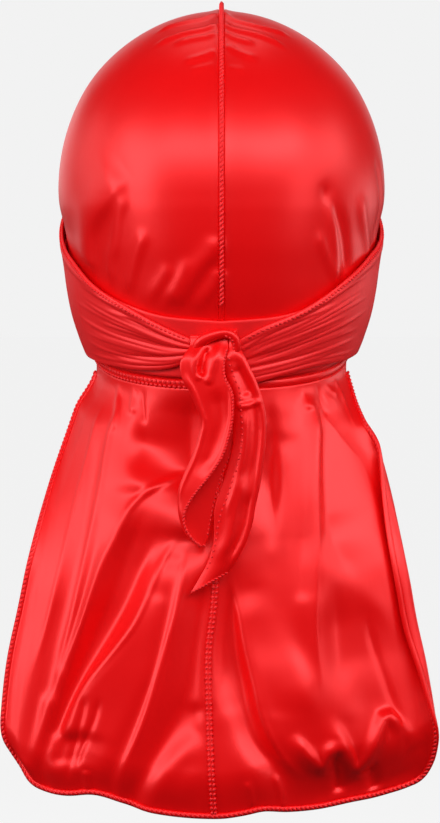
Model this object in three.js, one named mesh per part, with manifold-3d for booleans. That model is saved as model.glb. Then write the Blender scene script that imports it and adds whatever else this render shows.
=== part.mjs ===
// A satin durag in its worn form: a crown of two panels with a raised centre seam, two straps wound
// round the head and tied at the nape, and a long flared tail. Millimetres, +Z up, the wearer faces
// +Y, and the origin is the inside of the crown's top, where the head carries it.
import * as THREE from 'three';
import Module from 'manifold-3d';

const wasm = await Module();
wasm.setup();

// Cloth and clearances
const CLOTH = 1.2; // wall of the satin
const GAP = 0.3; // clearance between neighbouring pieces
const STRAP_GAP = 0.5; // clearance between wound layers
const LAYER = CLOTH + STRAP_GAP; // one wound layer
const STRAP_EASE = 0.35; // extra room between the crown and the straps' first pass
const EDGE_GAP = 0.7; // clearance between a hem or seam and the edge it lies along

// The head form that the crown follows on its inside
const HEAD_HALF_WIDTH = 78.3;
const HEAD_BACK = 95;
const HEAD_FRONT = 92;
const DOME_HEIGHT = 87.5; // from the top to the widest level
const NAPE_DROP = 178; // from the top to the crown's edge at the nape
const SIDE_ROUND = 2; // superellipse powers of the dome's profiles
const BACK_ROUND = 2.1;
const FRONT_ROUND = 2.3;

// Seams and hems
const RIB_WIDTH = 2.6; // raised centre seam
const RIB_HEIGHT = 4.5; // above the crown at its top
const SEAM_HEIGHT = 3.2; // gathered seam between crown and tail
const SEAM_THICKNESS = 2.2;
const HEM_WIDTH = 2.6; // hem of the crown's open edge
const HEM_THICKNESS = 1.8;
const TAIL_HEM_WIDTH = 3;
const TAIL_HEM_THICKNESS = 2;
const TAIL_SEAM_WIDTH = 2;
const TAIL_SEAM_HEIGHT = 1.1; // above the tail's cloth

// The tail
const NAPE_ANGLE = 78; // degrees either side of the back where the tail is sewn on
const HEM_ANGLE_GAP = 0.5; // degrees between the ends of the crown's hem and of that seam
const TAIL_LENGTH = 206; // at its middle
const TAIL_HALF_WIDTH = 104.5;
const TAIL_DEPTH = 84; // how far behind the origin its middle hangs
const TAIL_CURVE = 27; // how far its sides hang in front of its middle
const TAIL_FOLD = 6.5; // height of the deepest fold
const EDGE_ROLL = 19; // cloth taken up by the roll of its right edge
const ROLL_FLATTEN = 0.32; // depth of that roll as a share of a round one

// Folds of the crown and pleats of the straps
const CROWN_FOLD = 2.6;
const FOLD_WIDTH = 10;
const PLEAT_HEIGHT = 2.2;

// The knot and the free ends
const KNOT_RISE = 15; // from the crown's edge at the nape up to the knot's middle
const KNOT_DROP = NAPE_DROP - KNOT_RISE;
const BAND_HEIGHT = 5.6; // thickness of the knot's loop
const BAND_DEPTH = 4.6;
const KNOT_WIDTH = 20;
const KNOT_HEIGHT = 15;
const KNOT_DEPTH = 4.4;
const TIE_WIDTH = 24; // hanging width of a strap's end
const TIE_LEFT_LENGTH = 95;
const TIE_RIGHT_LENGTH = 113;
const TIE_CURL = 5; // depth of the curl of the left end
const TIE_BULGE = 2.6; // crown of the right end

const SATIN = { color: 0xd9141a, roughness: 0.32, metalness: 0.1 };
const THREAD = { color: 0xc11018, roughness: 0.6, metalness: 0 };

const DEGREE = Math.PI / 180;
const STEP = 1e-3; // step for slopes

// Turns rows of numbers into rows with named columns.
function table(columns, rows) {
  const names = columns.split(' ');
  return rows.map((row) => Object.fromEntries(names.map((name, i) => [name, row[i]])));
}

const clamp01 = (value) => Math.min(Math.max(value, 0), 1);
const mix = (a, b, share) => a + (b - a) * share;

function ease(share) {
  const t = clamp01(share);
  return t * t * (3 - 2 * t);
}

// A smooth curve through one column of a table, read at a place along its key column.
function along(rows, key, place, column) {
  const last = rows.length - 1;
  let i = 0;
  while (i < last - 1 && place > rows[i + 1][key]) i += 1;
  const slope = (j) => {
    const before = rows[Math.max(j - 1, 0)];
    const after = rows[Math.min(j + 1, last)];
    return (after[column] - before[column]) / (after[key] - before[key]);
  };
  const low = rows[i];
  const high = rows[i + 1];
  const span = high[key] - low[key];
  const t = clamp01((place - low[key]) / span);
  const rise = high[column] - low[column];
  const startBend = slope(i) * span - rise;
  const endBend = rise - slope(i + 1) * span;
  return low[column] + rise * t + t * (1 - t) * (startBend * (1 - t) + endBend * t);
}

// Head form under the widest level: drop as a share from there to the nape, sizes as shares of the
// head's own.
const LOWER_HEAD = table('drop width back front', [
  [0.0, 1.0, 1.0, 1.0],
  [0.1, 0.996, 0.998, 0.998],
  [0.27, 0.968, 0.982, 0.985],
  [0.41, 0.943, 0.955, 0.965],
  [0.54, 0.923, 0.925, 0.945],
  [0.67, 0.893, 0.885, 0.925],
  [0.8, 0.845, 0.835, 0.905],
  [0.88, 0.81, 0.8, 0.895],
  [0.96, 0.79, 0.775, 0.885],
  [1.1, 0.785, 0.745, 0.875],
]);

// The crown's lower edge: degrees from the back, and drop as a share of the nape's.
const CROWN_EDGE = table('turn drop', [
  [0, 1.0],
  [30, 0.994],
  [60, 0.972],
  [80, 0.932],
  [100, 0.831],
  [120, 0.713],
  [140, 0.629],
  [160, 0.59],
  [180, 0.579],
]);

function headSection(drop) {
  if (drop < DOME_HEIGHT) {
    const level = 1 - drop / DOME_HEIGHT;
    const reach = (power) => (1 - level ** power) ** (1 / power);
    return {
      width: HEAD_HALF_WIDTH * reach(SIDE_ROUND),
      back: HEAD_BACK * reach(BACK_ROUND),
      front: HEAD_FRONT * reach(FRONT_ROUND),
    };
  }
  const share = (drop - DOME_HEIGHT) / (NAPE_DROP - DOME_HEIGHT);
  return {
    width: HEAD_HALF_WIDTH * along(LOWER_HEAD, 'drop', share, 'width'),
    back: HEAD_BACK * along(LOWER_HEAD, 'drop', share, 'back'),
    front: HEAD_FRONT * along(LOWER_HEAD, 'drop', share, 'front'),
  };
}

// A point over the head form and the direction out of it. The angle is in degrees from the back,
// positive towards +X; lift is the distance outside the form.
function onHead(angle, drop, lift) {
  const level = Math.max(drop, STEP);
  const here = headSection(level);
  const next = headSection(level + STEP);
  const sine = Math.sin(angle * DEGREE);
  const cosine = Math.cos(angle * DEGREE);
  const reach = cosine >= 0 ? 'back' : 'front';
  const widthSlope = (next.width - here.width) / STEP;
  const reachSlope = (next[reach] - here[reach]) / STEP;
  const rise = here.width * reachSlope * cosine ** 2 + widthSlope * here[reach] * sine ** 2;
  const out = new THREE.Vector3(here[reach] * sine, -here.width * cosine, rise).normalize();
  const at = new THREE.Vector3(here.width * sine, -here[reach] * cosine, -level);
  return { at: at.addScaledVector(out, lift), out };
}

function crownEdgeDrop(angle) {
  return NAPE_DROP * along(CROWN_EDGE, 'turn', Math.abs(angle), 'drop');
}

// Folds. A row of a fold table is a line on a surface from one place to another, bowed sideways,
// with its own width to the left and to the right; positive heights stand out.
const FOLD_COLUMNS = 'fromAcross fromDown toAcross toDown bow left right height';
const FOLD_STEPS = 8;

function foldLines(rows, surface) {
  return rows.map((row) => {
    const points = [];
    for (let i = 0; i <= FOLD_STEPS; i += 1) {
      const t = i / FOLD_STEPS;
      const across = mix(row.fromAcross, row.toAcross, t) + 4 * t * (1 - t) * row.bow;
      points.push(surface(across, mix(row.fromDown, row.toDown, t)));
    }
    return { points, left: row.left, right: row.right, height: row.height };
  });
}

function foldHeight(lines, at, out, width) {
  let total = 0;
  for (const line of lines) {
    let nearest = Infinity;
    let side = 0;
    let place = 0;
    for (let i = 0; i < FOLD_STEPS; i += 1) {
      const run = new THREE.Vector3().subVectors(line.points[i + 1], line.points[i]);
      const reach = new THREE.Vector3().subVectors(at, line.points[i]);
      const t = clamp01(reach.dot(run) / run.lengthSq());
      const away = reach.addScaledVector(run, -t);
      if (away.length() < nearest) {
        nearest = away.length();
        side = away.dot(run.cross(out));
        place = (i + t) / FOLD_STEPS;
      }
    }
    const span = width * (side > 0 ? line.left : line.right);
    const fade = ease(4 * place) * ease(4 * (1 - place));
    total += line.height * fade * Math.exp(-((nearest / span) ** 2));
  }
  return total;
}

// Closed bodies
// A body from its vertices and triangles, with double vertices merged and faces turned outwards.
function body(points, triangles) {
  const unique = new Map();
  const positions = [];
  const merged = points.map((p) => {
    const name = [p.x, p.y, p.z].map((value) => value.toFixed(4)).join(' ');
    if (!unique.has(name)) {
      unique.set(name, positions.length / 3);
      positions.push(p.x, p.y, p.z);
    }
    return unique.get(name);
  });
  const whole = triangles
    .map((corners) => corners.map((corner) => merged[corner]))
    .filter(([a, b, c]) => a !== b && b !== c && c !== a);
  const corner = (i) => new THREE.Vector3().fromArray(positions, 3 * i);
  const volume = whole.reduce((sum, [a, b, c]) => sum + corner(a).dot(corner(b).cross(corner(c))), 0);
  const index = whole.flatMap(([a, b, c]) => (volume > 0 ? [a, b, c] : [a, c, b]));
  const geometry = new THREE.BufferGeometry();
  geometry.setAttribute('position', new THREE.Float32BufferAttribute(positions, 3));
  geometry.setIndex(index);
  geometry.computeVertexNormals();
  return geometry;
}

// A cloth wall: face(s, t) gives a point midway in the cloth and the direction out of it, sampled
// at the listed shares.
function clothWall(face, acrossShares, downShares) {
  const points = [];
  const triangles = [];
  const wide = acrossShares.length;
  const tall = downShares.length;
  for (const side of [0.5, -0.5]) {
    for (const t of downShares) {
      for (const s of acrossShares) {
        const { at, out } = face(s, t);
        points.push(at.clone().addScaledVector(out, side * CLOTH));
      }
    }
  }
  const inner = wide * tall;
  const quad = (a, b, c, d) => triangles.push([a, b, c], [a, c, d]);
  for (let j = 0; j + 1 < tall; j += 1) {
    for (let i = 0; i + 1 < wide; i += 1) {
      const a = j * wide + i;
      quad(a, a + 1, a + wide + 1, a + wide);
      quad(inner + a + wide, inner + a + wide + 1, inner + a + 1, inner + a);
    }
  }
  for (let i = 0; i + 1 < wide; i += 1) {
    const low = (tall - 1) * wide + i;
    quad(inner + i, inner + i + 1, i + 1, i);
    quad(low, low + 1, inner + low + 1, inner + low);
  }
  for (let j = 0; j + 1 < tall; j += 1) {
    const left = j * wide;
    const right = left + wide - 1;
    quad(left, left + wide, inner + left + wide, inner + left);
    quad(inner + right, inner + right + wide, right + wide, right);
  }
  return body(points, triangles);
}

// A bead: rings of points along a line, closed at both ends.
function bead(rings) {
  const sides = rings[0].length;
  const points = rings.flat();
  const triangles = [];
  for (let j = 0; j + 1 < rings.length; j += 1) {
    for (let i = 0; i < sides; i += 1) {
      const next = (i + 1) % sides;
      const a = j * sides;
      triangles.push([a + i, a + next, a + sides + next], [a + i, a + sides + next, a + sides + i]);
    }
  }
  const end = points.length - sides;
  for (let i = 1; i + 1 < sides; i += 1) {
    triangles.push([0, i + 1, i], [end, end + i, end + i + 1]);
  }
  return body(points, triangles);
}

// One four-sided ring of a bead, in the plane of side and out, centred on its thickness.
function ring(centre, side, out, halfWidth, thickness) {
  const corners = [[-1, -0.5], [-1, 0.5], [1, 0.5], [1, -0.5]];
  return corners.map(([across, up]) =>
    centre.clone().addScaledVector(side, across * halfWidth).addScaledVector(out, up * thickness));
}

function shares(count) {
  return Array.from({ length: count + 1 }, (_, i) => i / count);
}

// Shares from 0 to 1 whose first step is this many times an even one.
function warpedShares(count, firstStep) {
  return shares(count).map((share) => share * mix(firstStep, 1, share));
}

// A bead beside the edge of a cloth. Each stop is a point of the cloth's edge with its out
// direction, and the bead lies beyond it, square to the edge.
function edgeBead(stops, width, thickness) {
  const last = stops.length - 1;
  const rings = stops.map(({ at, out }, i) => {
    const leave = stops[Math.min(i + 1, last)].at.clone().sub(stops[Math.min(i, last - 1)].at);
    const arrive = stops[Math.max(i, 1)].at.clone().sub(stops[Math.max(i - 1, 0)].at);
    leave.normalize();
    arrive.normalize();
    const mitre = Math.sqrt(2 / (1 + leave.dot(arrive)));
    const beyond = leave.add(arrive).cross(out).normalize();
    const centre = at.clone().addScaledVector(beyond, mitre * (EDGE_GAP + width / 2));
    return ring(centre, beyond, out, mitre * width / 2, thickness);
  });
  return bead(rings);
}

// The crown
// Folds of the crown: across in degrees from the back, down as a share of the nape's drop.
const CROWN_FOLDS = table(FOLD_COLUMNS, [
  [-36, 0.42, -58, 0.79, -5, 0.9, 0.6, 1.0],
  [-28, 0.44, -49, 0.79, -5, 0.5, 0.7, -0.7],
  [-24, 0.5, -42, 0.83, -3, 0.7, 0.5, 0.8],
  [-2, 0.58, -22, 0.85, 3, 0.9, 0.6, 0.7],
  [38, 0.44, 51, 0.76, 3, 0.6, 0.8, 0.9],
  [31, 0.5, 43, 0.8, 2, 0.6, 0.5, -0.6],
  [66, 0.46, 71, 0.72, 2, 0.6, 0.7, 0.8],
  [-72, 0.46, -76, 0.7, -2, 0.7, 0.6, 0.7],
  [-2, 0.03, -58, 0.065, 0, 0.5, 0.5, 0.5],
  [-2, 0.085, -46, 0.125, 0, 0.5, 0.5, 0.5],
  [-2, 0.16, -32, 0.19, 0, 0.5, 0.5, 0.4],
  [2, 0.03, 56, 0.07, 0, 0.5, 0.5, 0.5],
  [2, 0.085, 46, 0.13, 0, 0.5, 0.5, 0.5],
  [2, 0.16, 30, 0.19, 0, 0.5, 0.5, 0.4],
]);
const crownFolds = foldLines(CROWN_FOLDS, (angle, down) => onHead(angle, down * NAPE_DROP, 0).at);
const FOLD_FADE = 14; // how fast the folds flatten above the strap that presses on them
const FOLD_END = 120; // degrees from the back where no fold is left
const FOLD_END_FADE = 30; // degrees over which the last of them die out
const DOME_RUN = DOME_HEIGHT * Math.PI / 2; // length that one unit of the run below stands for

// Drop at a share of the way from the top to the edge, even along the dome's curve.
function crownDrop(angle, share) {
  const edge = crownEdgeDrop(angle);
  const whole = edge < DOME_HEIGHT
    ? Math.acos(1 - edge / DOME_HEIGHT) / (Math.PI / 2)
    : 1 + (edge - DOME_HEIGHT) / DOME_RUN;
  const run = whole * share;
  return run < 1 ? DOME_HEIGHT * (1 - Math.cos(run * Math.PI / 2)) : DOME_HEIGHT + (run - 1) * DOME_RUN;
}

// Columns lie closer at the back, where the folds are, and rows closer over the top's gathers.
const CROWN_COLUMNS = warpedShares(19, 0.7);
const GATHER_ROWS = 0.55; // share of the rows that cover the gathers
const GATHER_RUN = 0.341; // share of the way down that those rows cover
const CROWN_ROWS = shares(21).map((t) => (t < GATHER_ROWS
  ? GATHER_RUN * t / GATHER_ROWS
  : mix(GATHER_RUN, 1, (t - GATHER_ROWS) / (1 - GATHER_ROWS))));

function crownPanel(side) {
  const seamSide = RIB_WIDTH / 2 + GAP;
  const face = (s, t) => {
    const angle = side * 180 * s;
    const drop = crownDrop(angle, t);
    const { at, out } = onHead(angle, drop, 0);
    const strapTop = along(INNER_STRAP, 'turn', Math.abs(angle), 'top');
    const free = ease((strapTop - drop / NAPE_DROP) * FOLD_FADE)
      * ease((FOLD_END - Math.abs(angle)) / FOLD_END_FADE);
    const fold = CROWN_FOLD * free * foldHeight(crownFolds, at, out, FOLD_WIDTH);
    at.addScaledVector(out, CLOTH / 2 + fold);
    at.x = side * Math.hypot(at.x, seamSide);
    return { at, out };
  };
  return clothWall(face, CROWN_COLUMNS, CROWN_ROWS);
}

// Height of the raised seam above the crown: the share of the way from the nape's edge over the top
// to the forehead's edge, and the height as a share of the rib's. It lies flat under the straps.
const RIB_PROFILE = table('run height', [
  [0.0, 0.0],
  [0.08, 0.0],
  [0.12, 0.28],
  [0.3, 0.42],
  [0.5, 0.7],
  [0.6, 1.0],
  [0.7, 0.8],
  [0.82, 0.4],
  [0.88, 0.0],
  [1.0, 0.0],
]);

const TOP_RUN = 0.6; // share of that way from the nape's edge to the top

function crownSeam() {
  const side = new THREE.Vector3(1, 0, 0);
  const rings = shares(34).map((t) => {
    const behind = t < TOP_RUN;
    const share = behind ? 1 - t / TOP_RUN : (t - TOP_RUN) / (1 - TOP_RUN);
    const angle = behind ? 0 : 180;
    const { at, out } = onHead(angle, crownDrop(angle, share), 0);
    const height = CLOTH + RIB_HEIGHT * Math.max(along(RIB_PROFILE, 'run', t, 'height'), 0);
    return ring(at.addScaledVector(out, height / 2), side, out, RIB_WIDTH / 2, height);
  });
  return bead(rings);
}

function crownEdgeBead(startAngle, endAngle, count, width, thickness) {
  const stops = shares(count).map((t) => {
    const angle = mix(startAngle, endAngle, t);
    return onHead(angle, crownEdgeDrop(angle > 180 ? 360 - angle : angle), CLOTH / 2);
  });
  return edgeBead(stops, width, thickness);
}

// The straps. Turn is degrees from the back round the strap's own side, top and bottom are drops
// as shares of the nape's, and layer is 1 over the first pass and 0 straight on the crown. On the
// forehead the two lie one above the other, and past the middle each goes under the other.
const STRAP_COLUMNS = 'turn top bottom layer';
const INNER_STRAP = table(STRAP_COLUMNS, [
  [0, 0.834, 0.985, 0],
  [22, 0.822, 0.985, 0],
  [37, 0.795, 0.978, 0],
  [50, 0.762, 0.965, 0],
  [65, 0.72, 0.935, 0],
  [85, 0.665, 0.875, 0],
  [110, 0.59, 0.74, 0],
  [130, 0.53, 0.64, 0],
]);
const LEFT_STRAP = table(STRAP_COLUMNS, [
  [11, 0.88, 0.93, 1],
  [22, 0.846, 0.958, 1],
  [36, 0.798, 0.966, 1],
  [50, 0.753, 0.961, 1],
  [65, 0.697, 0.953, 1],
  [85, 0.629, 0.93, 1],
  [110, 0.53, 0.82, 1],
  [135, 0.44, 0.69, 1],
  [150, 0.41, 0.62, 1],
  [160, 0.42, 0.585, 1],
  [169, 0.458, 0.565, 1],
  [180, 0.46, 0.556, 0.5],
  [191, 0.458, 0.55, 0],
  [203, 0.46, 0.57, 0],
  [215, 0.48, 0.6, 0],
]);
const RIGHT_STRAP = table(STRAP_COLUMNS, [
  [7, 0.878, 1.008, 1],
  [15, 0.848, 0.997, 1],
  [28, 0.811, 0.976, 1],
  [39, 0.773, 0.961, 1],
  [52, 0.722, 0.952, 1],
  [68, 0.667, 0.945, 1],
  [90, 0.607, 0.915, 1],
  [115, 0.51, 0.8, 1],
  [135, 0.435, 0.69, 1],
  [150, 0.38, 0.6, 1],
  [160, 0.35, 0.52, 1],
  [169, 0.335, 0.437, 1],
  [180, 0.33, 0.435, 0.5],
  [191, 0.335, 0.437, 0],
  [203, 0.37, 0.49, 0],
  [215, 0.43, 0.57, 0],
]);

// Pleats across a strap, gathered towards the knot: place across from its top edge, width and
// height as shares.
const PLEATS = table('place width height', [
  [0.06, 0.09, 1.0],
  [0.38, 0.1, 0.8],
  [0.62, 0.08, 0.9],
  [0.88, 0.09, 0.6],
]);

const PLEATED_TURN = 8; // degrees from the back where the pleats are deepest
const PLEAT_REACH = 80; // degrees over which they smooth out
const SMOOTH_PLEAT = 0.12; // share of their height that is left there
const TUCK_TURN = 150; // degrees from the back where a strap starts to lie flat under the other
const TUCK_REACH = 30;

function pleatHeight(share, turn) {
  const gathered = mix(1, SMOOTH_PLEAT, ease((turn - PLEATED_TURN) / PLEAT_REACH));
  const shape = PLEATS.reduce(
    (sum, pleat) => sum + pleat.height * Math.exp(-(((share - pleat.place) / pleat.width) ** 2)), 0);
  return PLEAT_HEIGHT * gathered * shape;
}

function outerStrap(rows, side) {
  const start = rows[0].turn;
  const end = rows[rows.length - 1].turn;
  const face = (s, t) => {
    const turn = mix(start, end, s);
    const top = along(rows, 'turn', turn, 'top');
    const bottom = along(rows, 'turn', turn, 'bottom');
    const layer = along(rows, 'turn', turn, 'layer');
    const tucked = ease((turn - TUCK_TURN) / TUCK_REACH);
    const lift = STRAP_EASE + LAYER * (1 + layer) + CLOTH / 2 + pleatHeight(t, turn) * (1 - tucked);
    return onHead(side * turn, NAPE_DROP * mix(top, bottom, t), lift);
  };
  return clothWall(face, warpedShares(30, 0.72), shares(8));
}

function innerStrap() {
  const reach = INNER_STRAP[INNER_STRAP.length - 1].turn;
  const face = (s, t) => {
    const angle = mix(-reach, reach, s);
    const top = along(INNER_STRAP, 'turn', Math.abs(angle), 'top');
    const bottom = along(INNER_STRAP, 'turn', Math.abs(angle), 'bottom');
    return onHead(angle, NAPE_DROP * mix(top, bottom, t), STRAP_EASE + LAYER + CLOTH / 2);
  };
  return clothWall(face, shares(32), shares(3));
}

// The tail
// Its outline: down as a share of its length, the reach of its left and right sides and its
// middle's drift as shares of its half width, and how far the right edge is rolled over.
const TAIL_OUTLINE = table('down left right middle roll', [
  [0.0, 0.585, 0.585, 0.0, 0.02],
  [0.06, 0.66, 0.645, 0.0, 0.12],
  [0.19, 0.745, 0.72, -0.005, 0.5],
  [0.32, 0.82, 0.79, -0.015, 0.9],
  [0.5, 0.905, 0.865, -0.035, 1.0],
  [0.62, 0.95, 0.91, -0.06, 1.0],
  [0.75, 0.985, 0.955, -0.058, 0.8],
  [0.87, 1.0, 0.99, -0.05, 0.55],
  [0.95, 1.0, 0.985, -0.042, 0.35],
  [1.0, 0.98, 0.96, -0.036, 0.25],
]);
// Its lower edge: across from -1 to 1, and drop as a share of its length at the middle.
const TAIL_EDGE = table('across drop', [
  [-1.0, 0.855],
  [-0.9, 0.903],
  [-0.75, 0.935],
  [-0.6, 0.938],
  [-0.45, 0.958],
  [-0.3, 0.984],
  [0.0, 1.0],
  [0.13, 0.986],
  [0.22, 0.976],
  [0.35, 0.978],
  [0.5, 0.968],
  [0.65, 0.953],
  [0.8, 0.937],
  [0.9, 0.915],
  [1.0, 0.85],
]);
const TAIL_FOLDS = table(FOLD_COLUMNS, [
  [-0.3, 0.2, -0.92, 0.98, -0.1, 1.0, 0.7, 0.95],
  [-0.22, 0.24, -0.83, 0.98, -0.08, 0.7, 0.9, -0.8],
  [-0.24, 0.36, -0.72, 0.92, -0.06, 1.0, 0.8, 0.75],
  [-0.14, 0.38, -0.5, 1.0, 0.06, 0.6, 0.6, 0.8],
  [-0.1, 0.45, -0.43, 1.0, 0.1, 0.5, 0.7, -0.9],
  [-0.07, 0.75, -0.36, 1.0, 0.0, 0.5, 0.5, 0.5],
  [0.05, 0.42, 0.48, 0.98, -0.08, 0.6, 0.6, 0.7],
  [0.0, 0.46, 0.34, 0.98, -0.08, 0.7, 0.5, -0.7],
  [0.62, 0.0, 0.56, 0.93, -0.14, 0.8, 0.4, 1.0],
  [0.7, 0.03, 0.5, 0.35, 0.02, 0.35, 0.5, -0.8],
  [0.47, 0.38, 0.92, 0.66, -0.04, 0.6, 0.8, 0.7],
  [0.66, 0.03, 0.87, 0.6, 0.06, 0.6, 0.8, 0.7],
  [0.2, 0.12, 0.16, 0.5, 0.02, 1.2, 1.0, -0.5],
  [0.74, 0.64, 0.84, 0.9, 0.02, 0.5, 0.5, -0.7],
  [0.78, 0.84, 0.64, 1.0, 0.02, 0.5, 0.5, 0.7],
  [0.55, 0.86, 0.6, 1.0, 0.02, 0.4, 0.4, -0.5],
  [-0.8, 0.03, -0.8, 0.5, -0.1, 1.2, 1.0, 0.6],
  [-0.35, 0.05, -0.55, 0.28, -0.05, 1.3, 1.0, -0.6],
]);

// How far the tail's top edge lies under the crown's: the seam between them, square to the edge.
function seamDrop(angle) {
  const drop = crownEdgeDrop(angle);
  const here = onHead(angle, drop, 0).at;
  const next = onHead(angle + STEP, drop, 0).at;
  const slope = (crownEdgeDrop(angle + STEP) - drop) / here.distanceTo(next);
  return (SEAM_HEIGHT + 2 * EDGE_GAP) * Math.hypot(1, slope);
}

const WIDTH_LEAVES_NAPE = 0.12; // share down where the tail has left the head's width
const DEPTH_LEAVES_NAPE = 0.3; // share down where it has left the head's depth

function tailPoint(across, down) {
  const side = Math.sign(across) || 1;
  const angle = Math.asin(across * Math.sin(NAPE_ANGLE * DEGREE)) / DEGREE;
  const top = crownEdgeDrop(angle) + seamDrop(angle);
  const bottom = NAPE_DROP + TAIL_LENGTH * along(TAIL_EDGE, 'across', across, 'drop');
  const nape = onHead(angle, top, CLOTH / 2).at;
  const middle = along(TAIL_OUTLINE, 'down', down, 'middle');
  const reach = along(TAIL_OUTLINE, 'down', down, side < 0 ? 'left' : 'right');
  const outside = TAIL_HALF_WIDTH * reach - (side < 0 ? TAIL_HEM_WIDTH : 0);
  const centre = TAIL_HALF_WIDTH * middle;
  const wide = centre + side * Math.abs(across) * (outside - side * centre);
  const deep = TAIL_CURVE * across ** 2 - TAIL_DEPTH;
  return new THREE.Vector3(
    mix(nape.x, wide, ease(down / WIDTH_LEAVES_NAPE)),
    mix(nape.y, deep, ease(down / DEPTH_LEAVES_NAPE)),
    -mix(top, bottom, down),
  );
}

const tailFolds = foldLines(TAIL_FOLDS, tailPoint);

// How fast the folds rise away from the nape's seam, the middle seam and the side hems.
const NAPE_FREE = 9;
const SEAM_FREE = 12;
const SIDE_FREE = 14;

// The tail's mid surface, with its folds, seen from behind.
function tailSheet(across, down) {
  const slope = (towards) => {
    const low = tailPoint(across - towards.across, Math.max(down - towards.down, 0));
    const high = tailPoint(across + towards.across, Math.min(down + towards.down, 1));
    return high.sub(low).normalize();
  };
  const right = slope({ across: STEP, down: 0 });
  const under = slope({ across: 0, down: STEP });
  const out = under.clone().cross(right).normalize();
  const at = tailPoint(across, down);
  const free = ease(down * NAPE_FREE) * ease(Math.abs(across) * SEAM_FREE)
    * ease((1 - Math.abs(across)) * SIDE_FREE);
  const fold = TAIL_FOLD * free * foldHeight(tailFolds, at, out, FOLD_WIDTH);
  return { at: at.addScaledVector(out, fold), out, right };
}

const TAIL_COLUMNS = shares(14);
const TAIL_ROWS = warpedShares(19, 1.35); // closer at the lower corners
const FLAT_SHARE = 0.7; // share of the right panel's columns before its edge starts to roll

function tailFace(side, s, down) {
  const beside = side * (TAIL_SEAM_WIDTH / 2 + GAP);
  if (side < 0) {
    const flat = tailSheet(-s, down);
    flat.at.x += beside * (1 - s);
    return flat;
  }
  const turn = Math.PI * along(TAIL_OUTLINE, 'down', down, 'roll');
  const radius = EDGE_ROLL / turn;
  const reach = TAIL_HALF_WIDTH * along(TAIL_OUTLINE, 'down', down, 'right');
  const rollStart = 1 - radius * Math.sin(Math.min(turn, Math.PI / 2)) / reach;
  if (s <= FLAT_SHARE) {
    const flat = tailSheet(rollStart * s / FLAT_SHARE, down);
    flat.at.x += beside * (1 - s / FLAT_SHARE);
    return flat;
  }
  const past = (s - FLAT_SHARE) / (1 - FLAT_SHARE);
  const { at, out, right } = tailSheet(rollStart, down);
  const angle = turn * past;
  at.addScaledVector(right, radius * Math.sin(angle));
  at.addScaledVector(out, radius * ROLL_FLATTEN * (1 - Math.cos(angle)));
  const bent = out.clone().multiplyScalar(Math.cos(angle))
    .addScaledVector(right, -ROLL_FLATTEN * Math.sin(angle));
  const flat = tailSheet(mix(rollStart, 1, past), down);
  const rolled = ease(3 * turn / Math.PI);
  return {
    at: flat.at.lerp(at, rolled),
    out: flat.out.lerp(bent.normalize(), rolled).normalize(),
  };
}

function tailPanel(side) {
  const face = (s, t) => tailFace(side, s, t);
  return clothWall(face, TAIL_COLUMNS, TAIL_ROWS);
}

function tailSeam() {
  const side = new THREE.Vector3(1, 0, 0);
  const rings = shares(20).map((t) => {
    const { at, out } = tailSheet(0, t);
    at.addScaledVector(out, TAIL_SEAM_HEIGHT / 2);
    return ring(at, side, out, TAIL_SEAM_WIDTH / 2, CLOTH + TAIL_SEAM_HEIGHT);
  });
  return bead(rings);
}

// The hem runs down the left side, along the lower edge and up the rolled right edge.
const HEM_START = 0.02; // share down each side where the hem leaves the crown's seam
function tailHem() {
  const rows = [HEM_START, ...TAIL_ROWS.slice(1)];
  const stops = [
    ...rows.map((down) => tailFace(-1, 1, down)),
    ...TAIL_COLUMNS.slice(0, -1).reverse().map((s) => tailFace(-1, s, 1)),
    ...TAIL_COLUMNS.map((s) => tailFace(1, s, 1)),
    ...rows.slice(0, -1).reverse().map((down) => tailFace(1, 1, down)),
  ];
  return edgeBead(stops, TAIL_HEM_WIDTH, TAIL_HEM_THICKNESS);
}

// The knot and its free ends
// Places are given from the knot: x and down as shares of the tie's width, and out as a share of
// the knot's depth behind its seat on the first pass.
const knotSeat = onHead(0, KNOT_DROP - KNOT_HEIGHT / 3, STRAP_EASE + 2 * LAYER + GAP).at;
const knotPlace = (x, down, out) => new THREE.Vector3(
  x * TIE_WIDTH,
  knotSeat.y - out * KNOT_DEPTH,
  -KNOT_DROP - down * TIE_WIDTH,
);
const KNOT_LOOP = table('x down out', [
  [-0.5, 0.0, 0.55],
  [-0.46, -0.2, 1.0],
  [-0.26, -0.33, 1.45],
  [0.0, -0.37, 1.6],
  [0.2, -0.3, 1.5],
  [0.29, -0.12, 1.2],
  [0.22, 0.08, 0.75],
  [0.08, 0.14, 0.5],
]);

const LOOP_SIDES = 6;
const LOOP_END = 0.75; // the loop's thickness at its ends, as a share of its middle's

function toManifold(geometry) {
  const mesh = new wasm.Mesh({
    numProp: 3,
    vertProperties: new Float32Array(geometry.attributes.position.array),
    triVerts: new Uint32Array(geometry.index.array),
  });
  return new wasm.Manifold(mesh);
}

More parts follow.
